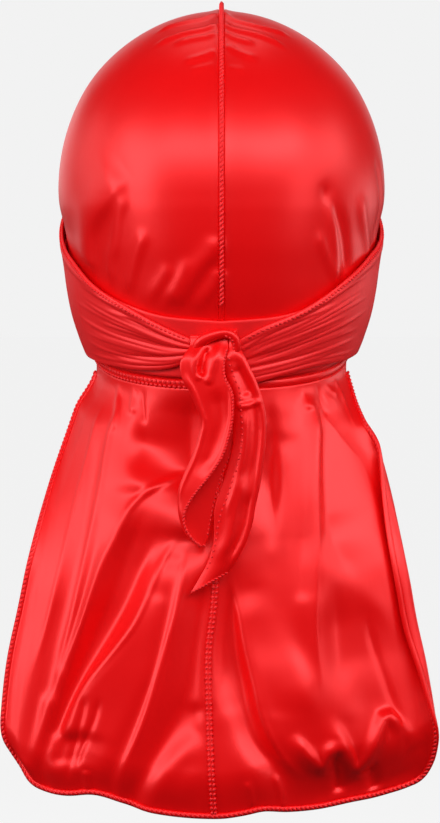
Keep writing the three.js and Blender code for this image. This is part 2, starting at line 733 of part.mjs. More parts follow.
function knotShape() {
  const points = KNOT_LOOP.map((row) => knotPlace(row.x, row.down, row.out));
  const curve = new THREE.CatmullRomCurve3(points);
  const rings = shares(14).map((t) => {
    const centre = curve.getPoint(t);
    const tangent = curve.getTangent(t);
    const deep = new THREE.Vector3(0, -1, 0).addScaledVector(tangent, tangent.y).normalize();
    const across = tangent.clone().cross(deep);
    const swell = mix(LOOP_END, 1, Math.sin(Math.PI * t));
    return Array.from({ length: LOOP_SIDES }, (_, i) => {
      const turn = 2 * Math.PI * i / LOOP_SIDES;
      return centre.clone()
        .addScaledVector(across, Math.cos(turn) * swell * BAND_HEIGHT / 2)
        .addScaledVector(deep, Math.sin(turn) * swell * BAND_DEPTH / 2);
    });
  });
  const core = new THREE.SphereGeometry(1, 10, 6);
  core.scale(KNOT_WIDTH / 2, KNOT_DEPTH / 2, KNOT_HEIGHT / 2);
  const heart = knotPlace(-0.1, -0.05, 0.5);
  core.translate(heart.x, heart.y, heart.z);
  const position = core.attributes.position;
  const corners = Array.from({ length: position.count }, (_, i) =>
    new THREE.Vector3().fromBufferAttribute(position, i));
  const faces = [];
  for (let i = 0; i < core.index.count; i += 3) {
    faces.push([0, 1, 2].map((k) => core.index.getX(i + k)));
  }
  const solid = toManifold(bead(rings)).add(toManifold(body(corners, faces)));
  const mesh = solid.getMesh();
  const geometry = new THREE.BufferGeometry();
  geometry.setAttribute('position', new THREE.Float32BufferAttribute(mesh.vertProperties, 3));
  geometry.setIndex(Array.from(mesh.triVerts));
  geometry.computeVertexNormals();
  return geometry;
}

// The left end, curled into an open fold: the front flap's free edge, the fold and the back flap's
// free edge across as shares of the tie's width, and the curl's depth as a share.
const LEFT_TIE = table('down front fold back curl', [
  [0.0, -0.11, -0.6, -0.15, 0.6],
  [0.075, -0.13, -0.79, -0.12, 0.8],
  [0.15, -0.06, -0.78, -0.08, 0.9],
  [0.225, 0.14, -0.62, 0.03, 1.0],
  [0.3, 0.22, -0.49, 0.12, 1.0],
  [0.38, 0.2, -0.39, 0.17, 1.0],
  [0.475, 0.11, -0.47, 0.22, 1.0],
  [0.55, 0.0, -0.57, 0.16, 1.1],
  [0.635, -0.22, -0.72, 0.02, 1.2],
  [0.71, -0.46, -0.83, -0.07, 1.2],
  [0.775, -0.64, -0.85, -0.14, 1.1],
  [0.835, -0.74, -0.84, -0.19, 1.0],
  [0.9, -0.73, -0.77, -0.24, 0.8],
  [0.965, -0.58, -0.62, -0.29, 0.6],
  [1.0, -0.42, -0.45, -0.34, 0.4],
]);
// The right end: its free edge and its folded edge, each across and down.
const RIGHT_TIE = table('place left leftDown right rightDown', [
  [0.0, 0.1, 0.02, 0.3, 0.0],
  [0.07, 0.09, 0.055, 0.46, 0.05],
  [0.14, 0.2, 0.11, 0.62, 0.11],
  [0.21, 0.32, 0.17, 0.74, 0.165],
  [0.28, 0.34, 0.235, 0.84, 0.235],
  [0.35, 0.37, 0.305, 0.87, 0.305],
  [0.42, 0.35, 0.385, 0.85, 0.385],
  [0.49, 0.25, 0.475, 0.8, 0.475],
  [0.57, 0.12, 0.56, 0.74, 0.555],
  [0.65, -0.02, 0.64, 0.66, 0.63],
  [0.73, -0.1, 0.71, 0.6, 0.7],
  [0.81, -0.16, 0.79, 0.49, 0.77],
  [0.88, -0.26, 0.865, 0.35, 0.83],
  [0.94, -0.44, 0.935, 0.21, 0.88],
  [1.0, -0.62, 1.0, 0.07, 0.915],
]);

// Where the free ends leave the knot, and how far behind its seat they hang.
const TIE_TOP = 0.13;
const TIE_OUT = 1.1;
const BULGE_START = 0.15; // how far up its round the right end's free edge lies, of a half turn

function surfaceFace(position) {
  return (s, t) => {
    const right = position(Math.min(s + STEP, 1), t).sub(position(Math.max(s - STEP, 0), t));
    const under = position(s, Math.min(t + STEP, 1)).sub(position(s, Math.max(t - STEP, 0)));
    return { at: position(s, t), out: under.cross(right).normalize() };
  };
}

function leftTie() {
  const position = (s, t) => {
    const row = (column) => along(LEFT_TIE, 'down', t, column);
    const turn = Math.cos(Math.PI * s);
    const edge = turn > 0 ? row('front') : row('back');
    const x = mix(row('fold'), edge, turn ** 2);
    const curl = TIE_CURL * row('curl') * (1 + turn) / 2;
    const place = knotPlace(x, TIE_TOP, TIE_OUT);
    place.y -= curl;
    place.z -= t * TIE_LEFT_LENGTH;
    return place;
  };
  return clothWall(surfaceFace(position), shares(8), shares(18));
}

function rightTie() {
  const position = (s, t) => {
    const row = (column) => along(RIGHT_TIE, 'place', t, column);
    const x = mix(row('left'), row('right'), s);
    const down = mix(row('leftDown'), row('rightDown'), s);
    const place = knotPlace(x, TIE_TOP, TIE_OUT);
    place.y -= TIE_BULGE * Math.sin(Math.PI * mix(BULGE_START, 1, s));
    place.z -= down * TIE_RIGHT_LENGTH;
    return place;
  };
  return clothWall(surfaceFace(position), shares(6), shares(18));
}

// The assembly
const durag = new THREE.Group();

function add(name, geometry, finish) {
  const mesh = new THREE.Mesh(geometry, new THREE.MeshStandardMaterial(finish));
  mesh.name = name;
  durag.add(mesh);
}

add('crown_left', crownPanel(-1), SATIN);
add('crown_right', crownPanel(1), SATIN);
add('crown_seam', crownSeam(), THREAD);
const frontAngle = NAPE_ANGLE + HEM_ANGLE_GAP;
add('front_hem', crownEdgeBead(frontAngle, 360 - frontAngle, 36, HEM_WIDTH, HEM_THICKNESS), THREAD);
add('nape_seam', crownEdgeBead(-NAPE_ANGLE, NAPE_ANGLE, 28, SEAM_HEIGHT, SEAM_THICKNESS), THREAD);
add('inner_wrap', innerStrap(), SATIN);
add('outer_wrap_left', outerStrap(LEFT_STRAP, -1), SATIN);
add('outer_wrap_right', outerStrap(RIGHT_STRAP, 1), SATIN);
add('knot', knotShape(), SATIN);
add('tie_end_left', leftTie(), SATIN);
add('tie_end_right', rightTie(), SATIN);
add('tail_left', tailPanel(-1), SATIN);
add('tail_right', tailPanel(1), SATIN);
add('tail_seam', tailSeam(), THREAD);
add('tail_hem', tailHem(), THREAD);

export default durag;
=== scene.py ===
"""A satin durag in its worn form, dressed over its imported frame.

Lengths are in millimetres until a mesh is made. The wearer faces +Y, so the photograph's view of
the back looks along +Y, and the origin is the inside of the crown's top.
"""
import math
import bmesh
import bpy
import numpy as np
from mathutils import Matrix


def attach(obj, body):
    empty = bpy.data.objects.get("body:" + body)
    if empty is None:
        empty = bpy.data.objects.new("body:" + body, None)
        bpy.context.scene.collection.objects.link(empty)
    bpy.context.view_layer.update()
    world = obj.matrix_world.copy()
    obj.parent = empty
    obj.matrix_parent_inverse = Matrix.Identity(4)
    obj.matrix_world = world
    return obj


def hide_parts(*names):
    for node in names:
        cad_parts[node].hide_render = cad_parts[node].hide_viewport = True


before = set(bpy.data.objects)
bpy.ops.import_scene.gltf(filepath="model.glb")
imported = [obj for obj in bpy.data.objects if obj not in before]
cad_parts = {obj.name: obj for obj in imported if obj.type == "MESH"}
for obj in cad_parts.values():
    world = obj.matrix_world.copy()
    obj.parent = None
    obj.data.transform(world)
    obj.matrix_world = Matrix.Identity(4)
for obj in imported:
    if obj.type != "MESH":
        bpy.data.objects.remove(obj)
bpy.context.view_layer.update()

MM = 0.001
PERCENT = 0.01
STEP = 1e-3
TINY = 1e-9

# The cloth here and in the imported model, the gaps between its layers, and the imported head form
CLOTH = 1.0
PACKED_CLOTH = 1.2
GAP = 0.3
STRAP_GAP = 0.5
LAYER = PACKED_CLOTH + STRAP_GAP
STRAP_EASE = 0.35
EDGE_GAP = 0.7
HEAD_HALF_WIDTH = 78.3
HEAD_BACK = 95.0
HEAD_FRONT = 92.0
DOME_HEIGHT = 87.5
NAPE_DROP = 178.0
SIDE_ROUND = 2.0
BACK_ROUND = 2.1
FRONT_ROUND = 2.3

# Seams and hems
RIB_WIDTH = 2.6
RIB_HEIGHT = 4.5
SEAM_HEIGHT = 3.2
SEAM_THICKNESS = 2.2
HEM_WIDTH = 2.6
HEM_THICKNESS = 1.8
TAIL_HEM_WIDTH = 3.0
TAIL_HEM_THICKNESS = 2.0
TAIL_SEAM_WIDTH = 2.0
TAIL_SEAM_RISE = 1.1
BEAD_EASE = 0.3
NAPE_SEAM_EASE = 0.5

# The tail
NAPE_ANGLE = 78.0
HEM_ANGLE_GAP = 0.5
TAIL_LENGTH = 206.0
TAIL_HALF_WIDTH = 104.5
TAIL_DEPTH = 84.0
TAIL_CURVE = 27.0
EDGE_ROLL = 19.0
ROLL_FLATTEN = 0.32

# The knot and the free ends
KNOT_DROP = 163.0
KNOT_HEIGHT = 15.0
KNOT_DEPTH = 4.4
TIE_WIDTH = 24.0
TIE_LEFT_LENGTH = 95.0
TIE_RIGHT_LENGTH = 113.0


def table(text):
    """Rows of numbers as columns, with their names in the first row."""
    names, *rows = [row.split() for row in text.strip().splitlines()]
    return {name: np.array([row[i] for row in rows], float) for i, name in enumerate(names)}


def mix(low, high, share):
    return low + (high - low) * share


def ease(share):
    """A smooth step from 0 to 1 as the share goes from 0 to 1."""
    share = np.clip(share, 0.0, 1.0)
    return share * share * (3.0 - 2.0 * share)


def along(rows, place, column):
    """A smooth curve through a column, read at places along the first column."""
    keys = next(iter(rows.values()))
    values = rows[column]
    last = len(keys) - 1
    before = np.maximum(np.arange(last + 1) - 1, 0)
    after = np.minimum(np.arange(last + 1) + 1, last)
    slopes = (values[after] - values[before]) / (keys[after] - keys[before])
    place = np.asarray(place, float)
    i = np.clip(np.searchsorted(keys, place) - 1, 0, last - 1)
    span = keys[i + 1] - keys[i]
    t = np.clip((place - keys[i]) / span, 0.0, 1.0)
    rise = values[i + 1] - values[i]
    start_bend = slopes[i] * span - rise
    end_bend = rise - slopes[i + 1] * span
    return values[i] + rise * t + t * (1 - t) * (start_bend * (1 - t) + end_bend * t)


def unit(vectors):
    length = np.linalg.norm(vectors, axis=-1, keepdims=True)
    return vectors / np.maximum(length, TINY)


def run_length(points):
    """Length along a line at each of its points."""
    return np.concatenate([[0.0], np.cumsum(np.linalg.norm(np.diff(points, axis=0), axis=-1))])


# The head form: shares of its sizes down from the dome, and the crown's edge round it
LOWER_HEAD = table("""
drop width back front
0 1 1 1
.1 .996 .998 .998
.27 .968 .982 .985
.41 .943 .955 .965
.54 .923 .925 .945
.67 .893 .885 .925
.8 .845 .835 .905
.88 .81 .8 .895
.96 .79 .775 .885
1.1 .785 .745 .875
""")
CROWN_EDGE = table("""
turn drop
0 1
30 .994
60 .972
80 .932
100 .831
120 .713
140 .629
160 .59
180 .579
""")


def shares(count):
    """Even shares from 0 to 1."""
    return np.linspace(0.0, 1.0, count)


def head_section(drop):
    """Half width and the depths behind and in front of the origin, at a drop below the top."""
    level = np.clip(1.0 - drop / DOME_HEIGHT, 0.0, 1.0)
    share = np.maximum(drop - DOME_HEIGHT, 0.0) / (NAPE_DROP - DOME_HEIGHT)
    sizes = []
    for size, power, column in ((HEAD_HALF_WIDTH, SIDE_ROUND, "width"),
                                (HEAD_BACK, BACK_ROUND, "back"),
                                (HEAD_FRONT, FRONT_ROUND, "front")):
        dome = (1.0 - level ** power) ** (1.0 / power)
        sizes.append(size * dome * along(LOWER_HEAD, share, column))
    return sizes


def on_head(angle, drop, lift):
    """Points at a lift over the head form, and the directions out of it."""
    angle, drop, lift = np.broadcast_arrays(angle, np.maximum(drop, STEP), lift)
    width, back, front = head_section(drop)
    width_next, back_next, front_next = head_section(drop + STEP)
    sine = np.sin(np.radians(angle))
    cosine = np.cos(np.radians(angle))
    behind = cosine >= 0
    reach = np.where(behind, back, front)
    reach_slope = np.where(behind, back_next - back, front_next - front) / STEP
    width_slope = (width_next - width) / STEP
    rise = width * reach_slope * cosine ** 2 + width_slope * reach * sine ** 2
    out = unit(np.stack([reach * sine, -width * cosine, rise], axis=-1))
    at = np.stack([width * sine, -reach * cosine, -drop], axis=-1)
    return at + out * lift[..., None], out


def crown_edge_drop(angle):
    return NAPE_DROP * along(CROWN_EDGE, np.abs(angle), "drop")


def smooth_path(points, count):
    """A smooth curve through a few chosen points."""
    points = np.asarray(points, float)
    last = len(points) - 1
    place = np.linspace(0.0, last, count + 1)
    rows = {"stop": np.arange(last + 1, dtype=float)}
    for i in range(points.shape[1]):
        rows[str(i)] = points[:, i]
    return np.stack([along(rows, place, str(i)) for i in range(points.shape[1])], axis=-1)


def fold(height, left, right, *path):
    """A fold along a path of places: its height and its widths to the left and right, in mm."""
    return {"height": height, "left": left, "right": right, "path": path}


FOLD_STEPS = 18
FOLD_REACH = 3.0
PATH_FADE = 5.0
CREASE_STEPS = 40


def parse(text):
    """Rows parted by semicolons, with groups of numbers parted by commas."""
    return [[np.array(group.split(), float) for group in row.split(",")] for row in text.split(";")]


def folds(text, *units):
    """Folds from rows of text: height, width to the left and right, then the path's places in units."""
    return [fold(*sizes, *[place * units for place in path]) for sizes, *path in parse(text)]


def creases(text, *units):
    """Lines of a cloth's folds from rows of text: places across and along it and heights, in units."""
    return [smooth_path([stop * units for stop in row], CREASE_STEPS) for row in parse(text)]


def fold_lines(folds, surface):
    """The folds with their lines of points on a surface."""
    lines = []
    for entry in folds:
        places = smooth_path(entry["path"], FOLD_STEPS)
        lines.append((surface(places[:, 0], places[:, 1]), entry))
    return lines


def fold_height(lines, at, out):
    """Height of all folds at the points: ridges stand out, valleys are negative."""
    total = np.zeros(at.shape[:-1])
    for points, entry in lines:
        reach_limit = FOLD_REACH * max(entry["left"], entry["right"])
        near = np.all((at > points.min(0) - reach_limit) & (at < points.max(0) + reach_limit), axis=-1)
        if not near.any():
            continue
        here = at[near]
        facing = np.broadcast_to(out, at.shape)[near]
        nearest = np.full(len(here), np.inf)
        side = np.zeros(len(here))
        place = np.zeros(len(here))
        for i in range(FOLD_STEPS):
            run = points[i + 1] - points[i]
            reach = here - points[i]
            t = np.clip(reach @ run / max(run @ run, TINY), 0.0, 1.0)
            away = reach - t[:, None] * run
            length = np.linalg.norm(away, axis=-1)
            closer = length < nearest
            nearest = np.where(closer, length, nearest)
            side = np.where(closer, np.sum(away * np.cross(run, facing), axis=-1), side)
            place = np.where(closer, (i + t) / FOLD_STEPS, place)
        span = np.where(side > 0, entry["left"], entry["right"])
        fade = ease(PATH_FADE * place) * ease(PATH_FADE * (1 - place))
        total[near] += entry["height"] * fade * np.exp(-(nearest / span) ** 2)
    return total


def soften(field, *reaches):
    """A grid of heights with its corners rounded, by a reach in steps along each of its axes."""
    for axis, reach in enumerate(reaches):
        span = int(3 * reach)
        kernel = np.exp(-0.5 * (np.arange(-span, span + 1) / reach) ** 2)
        kernel /= kernel.sum()
        ends = [(0, 0), (0, 0)]
        ends[axis] = (span, span)
        padded = np.pad(field, ends, mode="edge")
        field = np.apply_along_axis(lambda line: np.convolve(line, kernel, mode="valid"), axis, padded)
    return field


def crease_field(creases, across, run, fade):
    """Heights of folded cloth on a grid: each row runs straight from crease to crease."""
    field = np.zeros((len(run), len(across)))
    first = min(run)
    last = max(run)
    for row, here in enumerate(run):
        places = [min(across), max(across)]
        heights = [0.0, 0.0]
        for line in creases:
            start = line[0, 1]
            end = line[-1, 1]
            if not start <= here <= end:
                continue
            grown = 1.0 if start <= first else (here - start) / fade
            left = 1.0 if end >= last else (end - here) / fade
            place = np.interp(here, line[:, 1], line[:, 0])
            before = np.interp(place, places, heights)
            height = mix(before, np.interp(here, line[:, 1], line[:, 2]), ease(min(grown, left)))
            spot = int(np.searchsorted(places, place))
            places.insert(spot, place)
            heights.insert(spot, height)
        field[row] = np.interp(across, places, heights)
    return field


LEAST_SIZE = 1e-4
LEAST_FACING = 0.05


def grid_normals(at, guide):
    """Directions out of a grid of points, on the same side as the guide."""
    down = np.gradient(at, axis=0)
    across = np.gradient(at, axis=1)
    normal = np.cross(down, across)
    size = np.linalg.norm(normal, axis=-1, keepdims=True)
    normal = normal / np.maximum(size, TINY)
    facing = np.sum(normal * guide, axis=-1, keepdims=True)
    normal = np.where(facing < 0, -normal, normal)
    sound = (size > LEAST_SIZE) & (np.abs(facing) > LEAST_FACING)
    return np.where(sound, normal, guide)


MERGE_REACH = 2e-6


def link(thing):
    bpy.context.scene.collection.objects.link(thing)
    return thing


def new_object(name, points, faces, material, uv=None):
    """A smooth mesh object from points in millimetres; uv holds a place in mm for each point."""
    mesh = bpy.data.meshes.new(name)
    mesh.from_pydata((np.asarray(points) * MM).tolist(), [], [tuple(face) for face in faces])
    if uv is not None:
        layer = mesh.uv_layers.new(name="cloth")
        corners = np.zeros(len(mesh.loops), np.int32)
        mesh.loops.foreach_get("vertex_index", corners)
        layer.data.foreach_set("uv", (np.asarray(uv)[corners] * MM).astype(np.float32).ravel())
    clean = bmesh.new()
    clean.from_mesh(mesh)
    bmesh.ops.remove_doubles(clean, verts=clean.verts, dist=MERGE_REACH)
    bmesh.ops.recalc_face_normals(clean, faces=clean.faces)
    clean.to_mesh(mesh)
    clean.free()
    mesh.polygons.foreach_set("use_smooth", [True] * len(mesh.polygons))
    mesh.materials.append(material)
    return link(bpy.data.objects.new(name, mesh))


def cloth_wall(name, at, out, material):
    """A wall of cloth round a grid of points midway in it, with rounded edges."""
    rows, columns = at.shape[:2]
    normal = grid_normals(at, out)
    outer = at + normal * CLOTH / 2
    inner = at - normal * CLOTH / 2
    steps_down = np.linalg.norm(np.diff(at, axis=0), axis=-1).mean(axis=1)
    steps_across = np.linalg.norm(np.diff(at, axis=1), axis=-1).mean(axis=0)
    v = np.concatenate([[0.0], np.cumsum(steps_down)])
    u = np.concatenate([[0.0], np.cumsum(steps_across)])
    grid_uv = np.stack(np.broadcast_arrays(u[None, :], v[:, None]), axis=-1)
    index = np.arange(rows * columns).reshape(rows, columns)
    faces = []

    def quads(a, b, c, d):
        faces.extend(np.stack([a.ravel(), b.ravel(), c.ravel(), d.ravel()], axis=1).tolist())

    quads(index[:-1, :-1], index[:-1, 1:], index[1:, 1:], index[1:, :-1])
    under = index + rows * columns
    quads(under[1:, :-1], under[1:, 1:], under[:-1, 1:], under[:-1, :-1])
    border = np.concatenate([index[0, :-1], index[:-1, -1], index[-1, :0:-1], index[:0:-1, 0]])
    flat_at = at.reshape(-1, 3)
    towards = np.zeros_like(at)
    towards[0] += at[0] - at[1]
    towards[-1] += at[-1] - at[-2]
    towards[:, 0] += at[:, 0] - at[:, 1]
    towards[:, -1] += at[:, -1] - at[:, -2]
    beyond = flat_at + unit(towards.reshape(-1, 3)) * CLOTH / 2
    rim = 2 * rows * columns + np.arange(len(border))
    following = np.roll(border, -1)
    rim_next = np.roll(rim, -1)
    quads(border, rim, rim_next, following)
    quads(rim, border + rows * columns, following + rows * columns, rim_next)
    points = np.concatenate([outer.reshape(-1, 3), inner.reshape(-1, 3), beyond[border]])
    flat_uv = grid_uv.reshape(-1, 2)
    uv = np.concatenate([flat_uv, flat_uv, flat_uv[border]])
    return new_object(name, points, faces, material, uv)


def bead(name, centres, sides, outs, half_widths, half_heights, material, count=12):
    """A closed bead of elliptical rings along a line, with rounded ends."""
    rings = len(centres)
    half_widths = np.broadcast_to(half_widths, rings)
    half_heights = np.broadcast_to(half_heights, rings)
    turn = np.linspace(0.0, 2 * np.pi, count, endpoint=False)
    points = (centres[:, None]
              + sides[:, None] * (half_widths[:, None] * np.cos(turn))[..., None]
              + outs[:, None] * (half_heights[:, None] * np.sin(turn))[..., None])
    index = np.arange(rings * count).reshape(rings, count)
    turned = np.roll(index, -1, axis=1)
    faces = np.stack([index[:-1], turned[:-1], turned[1:], index[1:]], axis=-1).reshape(-1, 4).tolist()
    faces.append(index[0, ::-1].tolist())
    faces.append(index[-1].tolist())
    around = turn * (half_widths.mean() + half_heights.mean()) / 2
    uv = np.stack(np.broadcast_arrays(around[None, :], run_length(centres)[:, None]), axis=-1).reshape(-1, 2)
    return new_object(name, points.reshape(-1, 3), faces, material, uv)


def line_frame(points, outs):
    """Unit tangents and sideways directions along a line that lies on a surface."""
    tangent = unit(np.gradient(points, axis=0))
    return tangent, unit(np.cross(tangent, outs))


def edge_line(edge, outs, reach):
    """A line beside a cloth's edge, at a distance beyond it; beyond is the way out of the cloth."""
    tangent, beyond = line_frame(edge, outs)
    return edge + beyond * reach, beyond


def resample(points, spacing, *others):
    """Points at even spacing along a line, with what belongs to them."""
    length = run_length(points)
    count = max(int(length[-1] / spacing), 2)
    place = np.linspace(0.0, length[-1], count + 1)

    def read(values):
        return np.stack([np.interp(place, length, values[:, i]) for i in range(values.shape[1])], axis=-1)

    return [read(points), *[unit(read(values)) for values in others]]


BALL_SIDES = 8
BALL_RINGS = 5


def stitches(name, centres, along_dirs, outs, length, width, height):
    """Small oval stitches as one mesh on the root, each with its length along a direction."""
    turn = np.linspace(0.0, 2 * np.pi, BALL_SIDES, endpoint=False)
    tilt = np.linspace(0.0, np.pi, BALL_RINGS + 2)[1:-1]
    shape = [[0.0, 0.0, 1.0]]
    shape += [[np.sin(a) * np.cos(b), np.sin(a) * np.sin(b), np.cos(a)] for a in tilt for b in turn]
    shape += [[0.0, 0.0, -1.0]]
    shape = np.array(shape)
    last = len(shape) - 1
    faces = []
    for i in range(BALL_SIDES):
        after = (i + 1) % BALL_SIDES
        faces.append([0, 1 + i, 1 + after])
        faces.append([last, last - BALL_SIDES + after, last - BALL_SIDES + i])
        for j in range(BALL_RINGS - 1):
            low = 1 + j * BALL_SIDES
            faces.append([low + i, low + BALL_SIDES + i, low + BALL_SIDES + after, low + after])
    outs = unit(outs - along_dirs * np.sum(outs * along_dirs, axis=-1, keepdims=True))
    ways = np.stack([np.cross(along_dirs, outs), outs, along_dirs], axis=1)
    points = centres[:, None] + shape * (width / 2, height / 2, length / 2) @ ways
    many = [[corner + n * len(shape) for corner in face] for n in range(len(centres)) for face in faces]
    piece = new_object(name, points.reshape(-1, 3), many, thread)
    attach(piece, "root")


ROPE_PITCH = 2.3
ROPE_SLANT = 0.75


def rope(name, line, outs, radius, pitch=ROPE_PITCH, slant=ROPE_SLANT):
    """Slanted overlock stitches along a line."""
    points, ups = resample(line, pitch, np.broadcast_to(outs, line.shape))
    tangent, beside = line_frame(points, ups)
    stitches(name, points, unit(tangent + beside * slant), ups, 2.0 * radius, 0.62 * pitch, 1.1 * radius)


def dots(name, line, outs, spacing, size):
    """A row of small separate stitches along a line."""
    points, ups = resample(line, spacing, np.broadcast_to(outs, line.shape))
    stitches(name, points, unit(np.gradient(points, axis=0)), ups, size * 1.3, size, size * 0.9)


# Materials
GLOSS_TINT = (1.0, 0.25, 0.26, 1.0)
TONE_SCALE = 60.0
WEAVE_STRETCH = (2600.0, 500.0, 1.0)
SLUB_STRETCH = (620.0, 45.0, 1.0)
SLUB_HEIGHT = 0.00008
BUMP_STRENGTH = 0.5


def add_node(nodes, kind, values):
    """A new shader node with values set on its sockets."""
    node = nodes.new("ShaderNode" + kind)
    set_sockets(node, values)
    return node


def set_sockets(node, values):
    for socket, value in values.items():
        node.inputs[socket].default_value = value


def cloth_bump(nodes, links, place, stretch, detail, height):
    """A bump from noise drawn out over the cloth's own places; height is in metres."""
    drawn = add_node(nodes, "Mapping", {"Scale": stretch})
    noise = add_node(nodes, "TexNoise", {"Scale": 1.0, "Detail": detail})
    bump = add_node(nodes, "Bump", {"Distance": height, "Strength": BUMP_STRENGTH})
    links.new(place.outputs["UV"], drawn.inputs["Vector"])
    links.new(drawn.outputs["Vector"], noise.inputs["Vector"])
    links.new(noise.outputs["Fac"], bump.inputs["Height"])
    return bump


def red_cloth(name, colour, deep_colour, metallic, roughness, gloss, weave_height):
    """Red cloth with a fine weave, long slubs and slow changes of tone."""
    material = bpy.data.materials.new(name)
    material.use_nodes = True
    nodes = material.node_tree.nodes
    links = material.node_tree.links
    shader = nodes["Principled BSDF"]
    set_sockets(shader, {
        "Metallic": metallic, "Roughness": roughness, "IOR": gloss, "Specular Tint": GLOSS_TINT})
    place = nodes.new("ShaderNodeTexCoord")
    tone = add_node(nodes, "TexNoise", {"Scale": TONE_SCALE, "Detail": 3.0})
    links.new(place.outputs["Object"], tone.inputs["Vector"])
    shades = nodes.new("ShaderNodeMix")
    shades.data_type = "RGBA"
    set_sockets(shades, {6: (*deep_colour, 1.0), 7: (*colour, 1.0)})
    links.new(tone.outputs["Fac"], shades.inputs[0])
    links.new(shades.outputs[2], shader.inputs["Base Color"])
    weave = cloth_bump(nodes, links, place, WEAVE_STRETCH, 2.0, weave_height)
    slubs = cloth_bump(nodes, links, place, SLUB_STRETCH, 3.0, SLUB_HEIGHT)
    links.new(weave.outputs["Normal"], slubs.inputs["Normal"])
    links.new(slubs.outputs["Normal"], shader.inputs["Normal"])
    return material


satin = red_cloth("red_satin", colour=(0.92, 0.002, 0.003), deep_colour=(0.86, 0.001, 0.002),
                  metallic=0.12, roughness=0.36, gloss=2.0, weave_height=0.00002)
# The straps' satin is rougher for its pulled, bunched weave. Its lighter, pinker base colour is painted
# sheen.
pulled_satin_painted_sheen = red_cloth("red_satin_pulled_painted_sheen", colour=(0.98, 0.012, 0.015), deep_colour=(0.9, 0.006, 0.008),
                         metallic=0.05, roughness=0.5, gloss=2.3, weave_height=0.00005)
thread = red_cloth("red_thread", colour=(0.9, 0.03, 0.035), deep_colour=(0.8, 0.012, 0.016),
                   metallic=0.1, roughness=0.5, gloss=1.7, weave_height=0.0001)

# Outlines: the straps' turns in degrees and heights as shares of the nape's drop, and the tail's
# places as shares of its length and half width
INNER_STRAP = table("""
turn top bottom layer
0 .834 .985 0
22 .822 .985 0
37 .795 .978 0
50 .762 .965 0
65 .72 .935 0
85 .665 .875 0
110 .59 .74 0
130 .53 .64 0
""")
LEFT_STRAP = table("""
turn top bottom layer
11 .88 .93 1
22 .846 .958 1
36 .798 .966 1
50 .753 .961 1
65 .697 .953 1
85 .629 .93 1
110 .53 .82 1
135 .44 .69 1
150 .41 .62 1
160 .42 .585 1
169 .458 .565 1
180 .46 .556 .5
191 .458 .55 0
203 .46 .57 0
215 .48 .6 0
""")
RIGHT_STRAP = table("""
turn top bottom layer
7 .878 1.008 1
15 .848 .997 1
28 .811 .976 1
39 .773 .961 1
52 .722 .952 1
68 .667 .945 1
90 .607 .915 1
115 .51 .8 1
135 .435 .69 1
150 .38 .6 1
160 .35 .52 1
169 .335 .437 1
180 .33 .435 .5
191 .335 .437 0
203 .37 .49 0
215 .43 .57 0
""")

TAIL_OUTLINE = table("""
down left right middle roll
0 .585 .585 0 .02
.06 .66 .645 0 .12
.19 .745 .72 -.005 .5
.32 .82 .79 -.015 .9
.5 .905 .865 -.035 1
.62 .95 .91 -.06 1
.75 1 .965 -.058 .8
.87 1.025 1 -.05 .55
.95 1.03 1 -.042 .35
1 1 .975 -.036 .25
""")
TAIL_LEAN = 10.0
LEAN_START = 0.36
LEAN_BEND = 1.3
SPREAD_END = 0.12
DEPTH_END = 0.55
TAIL_EDGE = table("""
across drop
-1 .892
-.9 .947
-.75 .96
-.6 .952
-.45 .968
-.3 .988
0 1
.13 .992
.22 .983
.35 .988
.5 .986
.65 .976
.8 .967
.9 .95
1 .892
""")


def seam_drop(angle):
    """How far the tail's top edge lies under the crown's, past the seam between them."""
    drop = crown_edge_drop(angle)
    here = on_head(angle, drop, 0.0)[0]
    there = on_head(angle + STEP, drop, 0.0)[0]
    slope = (crown_edge_drop(angle + STEP) - drop) / np.linalg.norm(there - here, axis=-1)
    return (SEAM_HEIGHT + 2 * EDGE_GAP) * np.hypot(1.0, slope)


def tail_point(across, down):
    """The tail's smooth surface: across from -1 to 1, down from 0 to 1."""
    across, down = np.broadcast_arrays(across, down)
    side = np.where(across < 0, -1.0, 1.0)
    angle = np.degrees(np.arcsin(np.clip(across, -1, 1) * math.sin(math.radians(NAPE_ANGLE))))
    top = crown_edge_drop(angle) + seam_drop(angle)
    bottom = NAPE_DROP + TAIL_LENGTH * along(TAIL_EDGE, across, "drop")
    nape = on_head(angle, top, PACKED_CLOTH / 2)[0]
    centre = TAIL_HALF_WIDTH * along(TAIL_OUTLINE, down, "middle")
    left = TAIL_HALF_WIDTH * along(TAIL_OUTLINE, down, "left") - TAIL_HEM_WIDTH
    right = TAIL_HALF_WIDTH * along(TAIL_OUTLINE, down, "right")
    outside = np.where(side < 0, left, right)
    wide = centre + side * np.abs(across) * (outside - side * centre)
    lean = TAIL_LEAN * np.maximum((down - LEAN_START) / (1 - LEAN_START), 0) ** LEAN_BEND
    deep = TAIL_CURVE * across ** 2 - TAIL_DEPTH
    return np.stack([
        mix(nape[..., 0], wide, ease(down / SPREAD_END)),
        mix(nape[..., 1], deep, ease(down / DEPTH_END)) - lean,
        -mix(top, bottom, down),
    ], axis=-1)


def dress(piece, node):
    """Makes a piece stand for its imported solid."""
    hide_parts(node)
    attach(piece, "root")
    return piece


